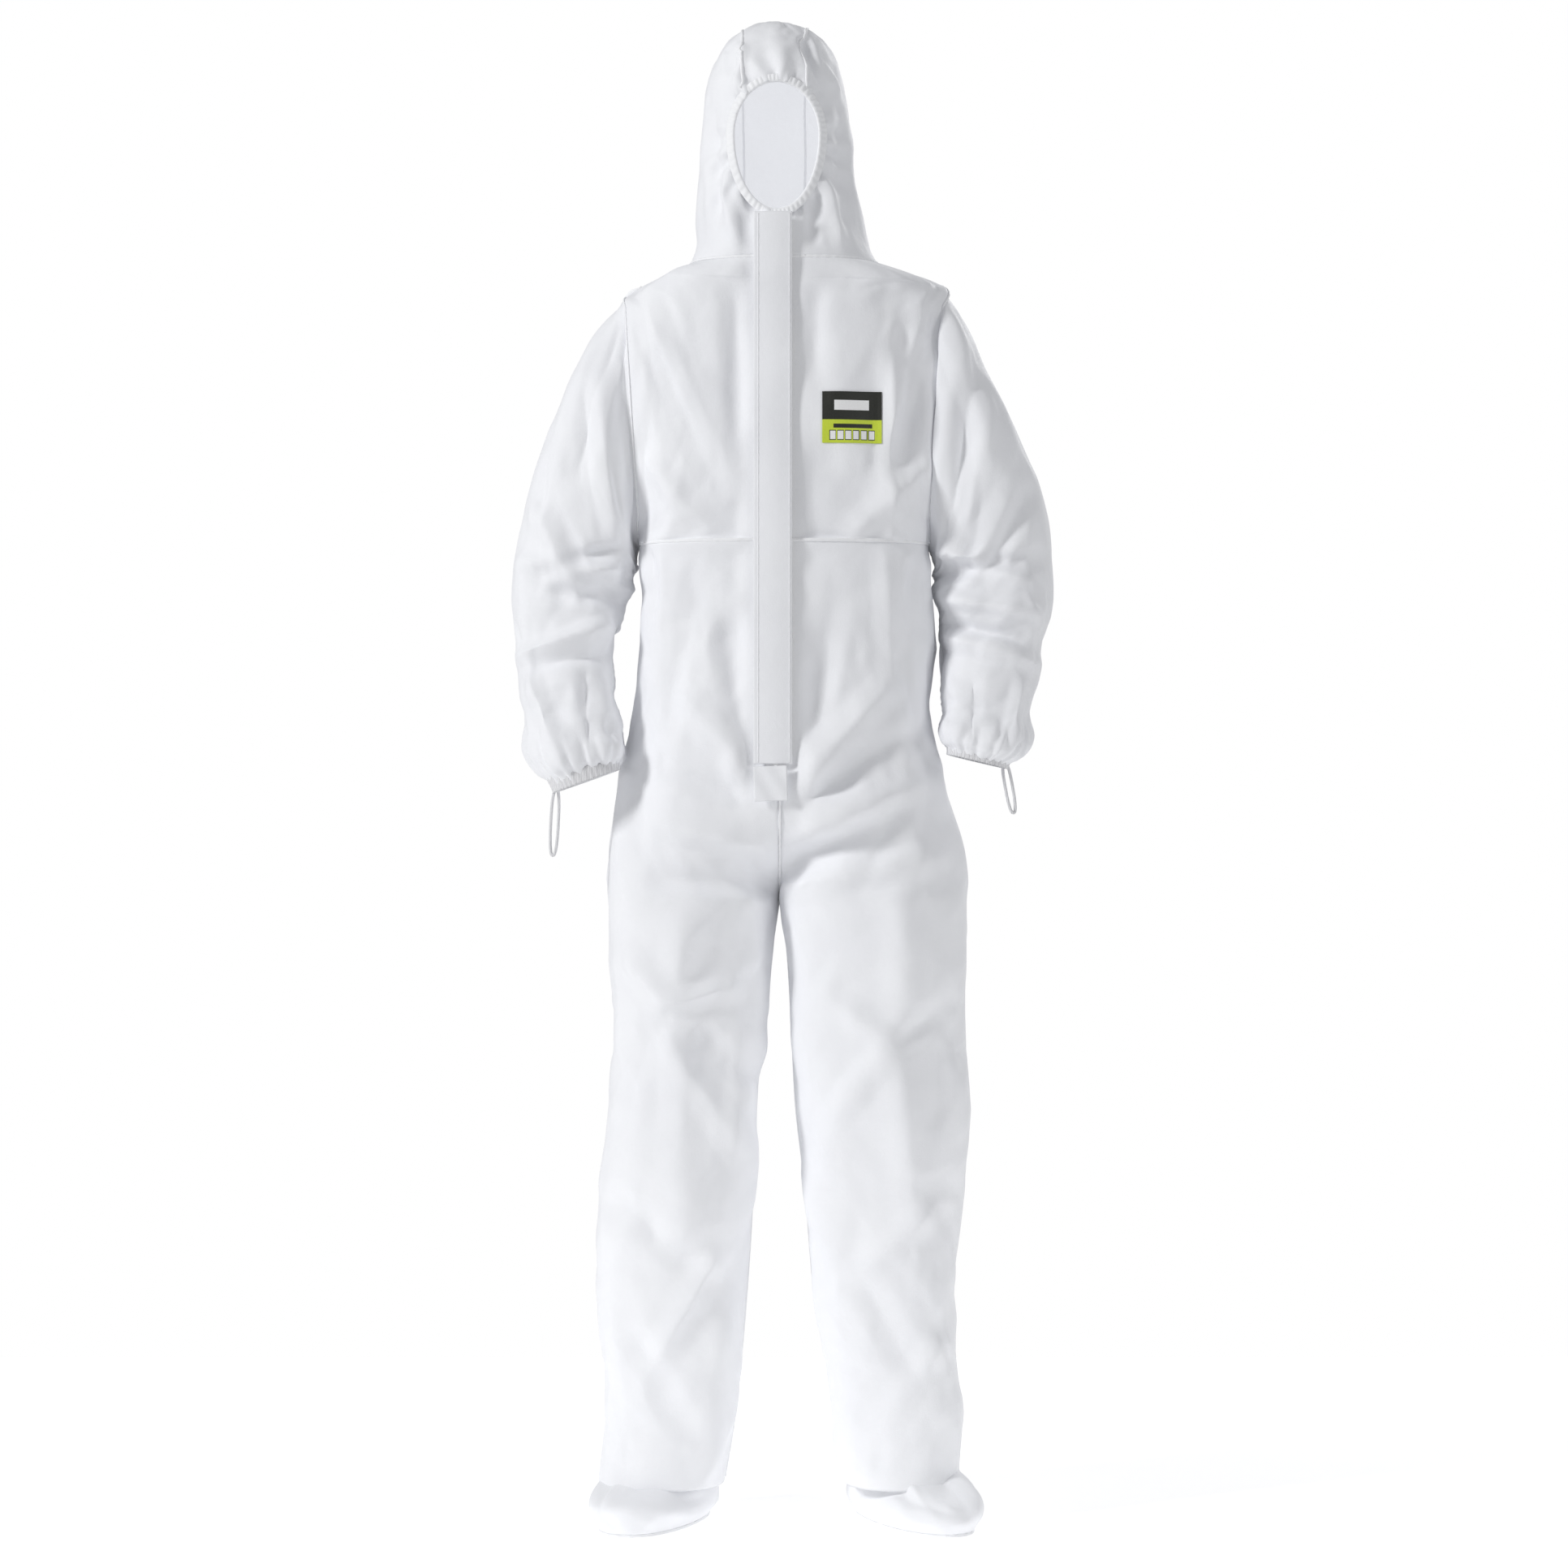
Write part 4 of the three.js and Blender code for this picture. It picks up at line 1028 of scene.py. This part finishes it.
# Across the face hem: (distance out from the opening's edge, height off the hood) in millimetres.
FACE_HEM = [(-0.8, -4.5), (-1.4, -1.2), (-0.6, 1.2), (1.8, 1.6), (5.0, 1.3), (7.4, 0.9), (8.2, 0.2)]
angles = np.linspace(0, 2 * np.pi, 301)
band_rows = []
for grow, lift in np.array(FACE_HEM) / 1000:
    x, z = face_edge(angles, grow)
    ripple = 0.0006 * np.sin(angles * 62 + 2.5 * np.sin(angles * 4)) * (grow > 0)
    band_rows.append(stack(x, hood_front_y(x, z) - lift - ripple, z))
face_band = sheet_object("face_elastic_hem", np.stack(band_rows), SEAM, wrap=True, thickness=0.0007, levels=1)
hood_blend(face_band)
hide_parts("face_elastic")

# ---- Seams on the body ----
SEAM_STEP, SEAM_PUCKER = 0.003, 0.3


def seam(name, line, away, half_width, height, closed=False):
    return sweep(name, line, away, half_width, height, SEAM, closed=closed, pucker=SEAM_PUCKER)


def level_seam(name, z, half_width):
    """From one side of the zip round the back to the other."""
    start, end = (float(zip_edge_turn(side)(np.array(WAIST_Z))) for side in (-1, 1))
    turns = np.linspace(start, 1 + end, 240)
    line = resample(trunk(turns % 1.0, np.full_like(turns, z)), SEAM_STEP)
    return seam(name, line, from_axis(line), half_width, 0.0012)


def facing(line, *direction):
    """The same direction at every point of a line."""
    return np.tile(direction, (len(line), 1))


join(pieces["back"], level_seam("waist_seam", WAIST_Z, 0.0022), level_seam("neck_seam", NECK_Z, 0.0020))

for name, side in SIDES.items():
    turns = np.linspace(0, 1, 161)[:-1]
    line = resample(sleeve(name)(turns, np.zeros_like(turns)), SEAM_STEP, closed=True)
    away = facing(line, side * 1.0, 0, 0.35) + from_axis(line)
    armhole = seam("armhole_seam", line, away, 0.0020, 0.0012, closed=True)
    steps = np.linspace(0.1, 8.9, 140)
    line = resample(sleeve(name)(np.zeros_like(steps), steps), SEAM_STEP)
    arm = pieces[f"sleeve_{name}"]
    line, away = settle(line, surface_of(arm), facing(line, -side * 1.0, 0, -0.2))
    join(arm, seam("underarm_seam", line, away, 0.0016, 0.0010))
    join(pieces["back"], armhole)
    heights = np.linspace(0.052, 0.905, 240)
    line = resample(leg(name)(np.zeros_like(heights), heights), SEAM_STEP)
    inseam = seam("inseam", line, facing(line, -side * 0.6, -0.8, 0.0), 0.0016, 0.0009)
    heights = np.linspace(CROTCH_Z, WAIST_Z, 120)
    line = resample(leg(name)(np.ones_like(heights), heights), SEAM_STEP)
    rise = seam("back_rise_seam", line, facing(line, 0, 1.0, 0), 0.0018, 0.0010)
    join(pieces[f"leg_{name}"], inseam, rise)

HALVES = ("front", "back")
for name in SIDES:
    trousers, arm = pieces[f"leg_{name}"], pieces[f"sleeve_{name}"]
    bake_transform(trousers)
    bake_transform(arm)
    trousers.name = f"trouser_{name}"
    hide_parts(*[f"{part}_{half}_{name}" for part in ("seat", "thigh", "shin") for half in HALVES])
    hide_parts(*[f"{part}_sleeve_{half}_{name}" for part in ("upper", "lower") for half in HALVES])
    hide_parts(f"bootie_{name}")
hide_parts("front_left_panel")
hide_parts("front_right_panel")
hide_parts("back_panel")

# ---- Cuffs, ankles and finger loops ----
def moved_out(around, offset):
    """A ring of points, each moved away from the ring's middle by its offset."""
    outward = around - around.mean(axis=0)
    outward /= np.linalg.norm(outward, axis=1, keepdims=True)
    return around + outward * offset[:, None]


def ribs(turns, height, count):
    return height * np.sin(turns * 2 * np.pi * count)


# Each is (sleeve step, depth inside the sleeve).
CUFF_ROWS = [(8.60, 0.0022), (8.75, 0.0022), (8.90, 0.0020), (8.995, 0.0012)]
ANKLE_HEIGHTS = (0.131, 0.135, 0.139, 0.143)
turns = np.linspace(0, 1, 161)
for name in SIDES:
    rows = []
    for step, inset in CUFF_ROWS:
        around = sleeve(name)(turns, np.full_like(turns, step))
        rows.append(moved_out(around, -(inset + ribs(turns, 0.0006, 44))))
    cuff = sheet_object(f"cuff_band_{name}", np.stack(rows), ELASTIC, wrap=True, thickness=0.0006, levels=1)
    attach(cuff, f"forearm_{name}")
    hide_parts(f"cuff_elastic_{name}")

    rows = []
    for z in ANKLE_HEIGHTS:
        around = bootie(name)(turns, np.full_like(turns, z))
        rows.append(moved_out(around, 0.0014 + ribs(turns, 0.0005, 52)))
    ankle = sheet_object(f"ankle_band_{name}", np.stack(rows), ELASTIC, wrap=True, thickness=0.0006)
    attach(ankle, f"shin_{name}")
    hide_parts(f"ankle_elastic_{name}")

LOOP_ROOT = 0.012  # how far a loop reaches up into its cuff
LOOPS = {
    "right": {"x": -0.277, "y": -0.072, "top": 0.886, "length": 0.070, "lean": 3},
    "left": {"x": 0.270, "y": -0.067, "top": 0.919, "length": 0.052, "lean": 10},
}
for name, side in SIDES.items():
    loop = LOOPS[name]
    half = (loop["length"] + LOOP_ROOT) / 2
    lean = math.radians(loop["lean"])
    turns = np.linspace(0, 2 * np.pi, 73)[:-1]
    across = 0.0046 * signed_power(np.cos(turns), 0.8)
    down = half - LOOP_ROOT - (half - 0.001) * signed_power(np.sin(turns), 0.75)
    x = loop["x"] - side * across * math.cos(lean) + side * down * math.sin(lean)
    line = stack(x, loop["y"] + 0.0015 * np.sin(turns * 2), loop["top"] - down * math.cos(lean))
    line = resample(line, 0.0016, closed=True)
    band = sweep(f"finger_loop_band_{name}", line, facing(line, 0, -1.0, 0), 0.0019, 0.0024, ELASTIC,
                 closed=True, pucker=0.06)
    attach(band, f"finger_loop_{name}")
    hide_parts(f"finger_loop_{name}")

# ---- Zip, storm flap, end tab ----
ZIP_BOTTOM, ZIP_TOP = 0.924, 1.590
TAPE_X = (0.0016, 0.0125)  # each tape's inner and outer edge, from the zip's middle
FLAP_FREE_X, FLAP_ROOT_X = 0.010, -0.0325
FLAP_LIFT = 0.0075  # how far the flap stands off the front
FLAP_BOTTOM, FLAP_TOP = 0.928, 1.594
COIL_TURNS, COIL_END, COIL_WIRE = 400, 0.006, 0.00028


def lattice(x0, x1, z0, z1, columns, rows):
    """The two coordinates of a grid's points, (rows + 1, columns + 1) of each."""
    x = np.linspace(x0, x1, columns + 1)[None, :] * np.ones((rows + 1, 1))
    z = np.linspace(z0, z1, rows + 1)[:, None] * np.ones(columns + 1)
    return x, z


def upright_strip(x0, x1, z0, z1, columns, rows, depth):
    """A strip on the leaning centre front. depth(x, z) is how far it stands in front of that line."""
    x, z = lattice(x0, x1, z0, z1, columns, rows)
    return stack(x, front_line(z) - depth(x, z), z)


def tape_depth(x, z):
    return 0.0006


for name, side in SIDES.items():
    x0, x1 = sorted(ZIP_X + side * edge for edge in TAPE_X)
    strip = upright_strip(x0, x1, ZIP_BOTTOM, ZIP_TOP, 4, 80, tape_depth)
    tape = sheet_object(f"zip_tape_weave_{name}", strip, TAPE, thickness=0.0005)
    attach(tape, "trunk")
    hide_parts(f"zip_tape_{name}")
    along = np.linspace(0, 1, COIL_TURNS * 8)
    spin = along * COIL_TURNS * 2 * np.pi
    z = ZIP_BOTTOM + COIL_END + along * (ZIP_TOP - ZIP_BOTTOM - 2 * COIL_END)
    x = ZIP_X + side * (0.0012 + 0.0011 * np.cos(spin))
    line = stack(x, front_line(z) - 0.0018 - 0.0009 * np.sin(spin), z)
    away = facing(line, 0, -1.0, 0)
    coil = sweep(f"zip_coil_teeth_{name}", line, away, COIL_WIRE, COIL_WIRE, NYLON, sides=4)
    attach(coil, "trunk")
    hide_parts(f"zip_coil_{name}")


def flap_depth(x, z):
    share = (x - FLAP_ROOT_X) / (FLAP_FREE_X - FLAP_ROOT_X)
    sag = (0.0013 * np.sin(z * 23 + 2 * np.sin(z * 9)) + 0.0007 * np.sin(z * 61 + 3 * np.sin(z * 17))) * share
    arch = 0.0018 * np.sin(np.pi * np.clip(share, 0, 1))
    return FLAP_LIFT + arch + sag


strip = upright_strip(FLAP_ROOT_X - 0.004, FLAP_FREE_X, FLAP_BOTTOM, FLAP_TOP, 14, 170, flap_depth)
flap = sheet_object("storm_flap_fabric", strip, FABRIC, thickness=0.0009, levels=1)
for x in (FLAP_ROOT_X + 0.0015, FLAP_FREE_X - 0.0035):
    z = np.linspace(FLAP_BOTTOM + 0.002, FLAP_TOP - 0.002, 240)
    line = stack(x + 0 * z, front_line(z) - flap_depth(x, z) - 0.0002, z)
    join(flap, sweep("flap_stitch", line, facing(line, 0, -1.0, 0), 0.0005, 0.0005, SEAM, pucker=0.5))
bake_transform(flap)
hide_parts("storm_flap", "flap_seam_strip")

def release_depth(x, z):
    """Just behind the flap."""
    return flap_depth(x, z) - 0.0016


strip = upright_strip(0.0032, 0.0086, FLAP_BOTTOM + 0.01, FLAP_TOP - 0.01, 4, 80, release_depth)
adhesive = sheet_object("flap_release_strip", strip, RELEASE, thickness=0.0004)
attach(adhesive, "storm_flap")
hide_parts("flap_adhesive_strip")

TAB = {"x": -0.016, "z": 0.9046, "half_width": 0.020, "half_height": 0.021, "turn": 2.0}


def tab_points():
    u, v = lattice(-1, 1, -1, 1, 14, 14)
    turn = math.radians(TAB["turn"])
    x = u * TAB["half_width"]
    z = v * TAB["half_height"]
    place_x = TAB["x"] + x * math.cos(turn) - z * math.sin(turn)
    place_z = TAB["z"] + x * math.sin(turn) + z * math.cos(turn)
    lift = 0.0100 + 0.0010 * u * v + 0.0006 * np.sin(5 * u + 3 * v)
    return stack(place_x, front_line(place_z) - lift, place_z)


tab = sheet_object("flap_tab_fabric", tab_points(), FABRIC, thickness=0.0010, levels=1)
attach(tab, "trunk")
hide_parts("flap_end_tab")

# ---- Chest badge, neck label, waist elastic ----
BADGE = (0.046, 0.118, 1.315, 1.377)  # every box here is (low x, high x, low z, high z)
BADGE_SPLIT_Z = 1.343
WHITE_BAR = (0.0605, 0.1024, 1.3547, 1.3664)
DARK_BAR = (0.0595, 0.1063, 1.3330, 1.3380)
BOXES = (0.0546, 0.1112, 1.3186, 1.3303)
BOX_PITCH, BOX_WIDTH, BOX_LINE = 0.00943, 0.0080, 0.0007
DARK, LIME, WHITE = 0, 1, 2


def within(box, x, z):
    return box[0] < x < box[1] and box[2] < z < box[3]


def badge_material(x, z):
    """A plain badge: two colours with blank bars and blank boxes."""
    if within(WHITE_BAR, x, z):
        return WHITE
    if within(DARK_BAR, x, z):
        return DARK
    if within(BOXES, x, z):
        place = (x - BOXES[0]) % BOX_PITCH
        edge = min(place, BOX_WIDTH - place, z - BOXES[2], BOXES[3] - z)
        if place < BOX_WIDTH:
            return DARK if edge < BOX_LINE else WHITE
    return DARK if z > BADGE_SPLIT_Z else LIME


def badge():
    """Laid on the creased fabric, whose depth is sampled on a coarse grid."""
    columns, rows = 144, 124
    coarse_columns, coarse_rows = 14, 12
    x, z = lattice(*BADGE, columns, rows)
    panel = pieces["front_left"].evaluated_get(bpy.context.evaluated_depsgraph_get())
    coarse = np.zeros((coarse_rows + 1, coarse_columns + 1))
    for i, zi in enumerate(np.linspace(*BADGE[2:], coarse_rows + 1)):
        for j, xj in enumerate(np.linspace(*BADGE[:2], coarse_columns + 1)):
            hit, place, _, _ = panel.ray_cast(Vector((xj, -0.5, zi)), Vector((0, 1, 0)))
            base = float(trunk(trunk_turn(np.array(xj), np.array(zi)), np.array(zi))[1])
            coarse[i, j] = (place.y - base) if hit else 0.0
    fine_rows = np.linspace(0, coarse_rows, rows + 1)
    fine_columns = np.linspace(0, coarse_columns, columns + 1)
    part = np.stack([np.interp(fine_columns, np.arange(coarse_columns + 1), row) for row in coarse])
    shift = np.stack([np.interp(fine_rows, np.arange(coarse_rows + 1), column) for column in part.T], axis=1)
    y = trunk(trunk_turn(x, z), z)[..., 1] + shift - 0.0012
    obj = sheet_object("chest_badge_print", stack(x, y, z), PRINT_BLACK)
    obj.data.materials.append(PRINT_LIME)
    obj.data.materials.append(PRINT_WHITE)
    for polygon in obj.data.polygons:
        polygon.material_index = badge_material(polygon.center.x, polygon.center.z)
    return finish_fabric(obj, "trunk", 0, 0.0006)


badge_piece = badge()
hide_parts("chest_badge")


def inner_strip(name, turn0, turn1, z0, z1, columns, rows, inset, material, ripple=0.0):
    """A band just inside the trunk."""
    turn, z = lattice(turn0, turn1, z0, z1, columns, rows)
    points = trunk(turn, z)
    inward = -points / np.maximum(np.linalg.norm(points[..., :2], axis=-1, keepdims=True), 1e-9)
    inward[..., 2] = 0
    depth = inset + ripple * np.sin(turn * 2 * np.pi * 120)
    return sheet_object(name, points + inward * depth[..., None], material, thickness=0.0006)


waist_band = inner_strip("waist_elastic_band", 0.56, 0.94, 1.186, 1.202, 240, 3, 0.0040, ELASTIC, 0.0008)
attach(waist_band, "trunk")
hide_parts("waist_elastic")
label = inner_strip("neck_label_blank", 0.735, 0.765, 1.508, 1.534, 12, 8, 0.0040, PRINT_WHITE)
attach(label, "trunk")
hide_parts("neck_label")

# ---- Kept CAD nodes ----
KEPT_NODES = {"zip_slider": NYLON, "zip_pull": NYLON, "zip_bottom_stop": NYLON, "zip_top_stop_right": NYLON,
              "zip_top_stop_left": NYLON, "bootie_sole_right": BOOT, "bootie_sole_left": BOOT}
for node_name, material in KEPT_NODES.items():
    NODES[node_name].data.materials.clear()
    NODES[node_name].data.materials.append(material)

# ---- Stage ----
floor_material = plain("floor_pale", (0.93, 0.93, 0.93), (0.92, 0.92, 0.92), 0.9, 3.0, 0.0001)
floor_shader = floor_material.node_tree.nodes["Principled BSDF"]
floor_shader.inputs["Emission Color"].default_value = (1, 1, 1, 1)
floor_shader.inputs["Emission Strength"].default_value = 0.42
FLOOR_CORNERS = [(-1.5, -1.2, 0), (1.5, -1.2, 0), (1.5, 1.4, 0), (-1.5, 1.4, 0)]
floor = mesh_object("floor", FLOOR_CORNERS, [(0, 1, 2, 3)], floor_material)
floor.location.z = -0.0004


def area_light(name, place, target, size, power):
    data = bpy.data.lights.new(name, "AREA")
    data.shape = "RECTANGLE"
    data.size, data.size_y = size
    data.energy = power
    lamp = bpy.data.objects.new(name, data)
    bpy.context.collection.objects.link(lamp)
    lamp.location = place
    lamp.rotation_euler = (Vector(target) - Vector(place)).to_track_quat("-Z", "Y").to_euler()


area_light("key", (-3.6, -2.2, 3.0), (0, 0, 1.0), (0.7, 1.0), 112)
area_light("fill", (3.6, -2.2, 1.8), (0, 0, 0.9), (1.0, 1.4), 26)
area_light("back", (1.8, 3.6, 3.0), (0, 0, 1.0), (1.2, 1.6), 50)

# The camera sees a white studio, and the light from it is a little less than that.
world = bpy.data.worlds.new("studio")
bpy.context.scene.world = world
world.use_nodes = True
sky = world.node_tree
background = sky.nodes["Background"]
background.inputs["Color"].default_value = (0.97, 0.98, 1.0, 1)
background.inputs["Strength"].default_value = 0.40
white = sky.nodes.new("ShaderNodeBackground")
white.inputs["Color"].default_value = (1, 1, 1, 1)
chooser = sky.nodes.new("ShaderNodeMixShader")
path = sky.nodes.new("ShaderNodeLightPath")
sky.links.new(path.outputs["Is Camera Ray"], chooser.inputs["Fac"])
sky.links.new(background.outputs["Background"], chooser.inputs[1])
sky.links.new(white.outputs["Background"], chooser.inputs[2])
sky.links.new(chooser.outputs["Shader"], sky.nodes["World Output"].inputs["Surface"])

camera_data = bpy.data.cameras.new("camera")
camera_data.lens = 93.2
camera_data.sensor_width = 36.0
camera = bpy.data.objects.new("camera", camera_data)
bpy.context.collection.objects.link(camera)
camera.location = (0, -5.0, 0.904)
camera.rotation_euler = (math.pi / 2, 0, 0)
bpy.context.scene.camera = camera
bpy.context.scene.view_settings.view_transform = "Standard"
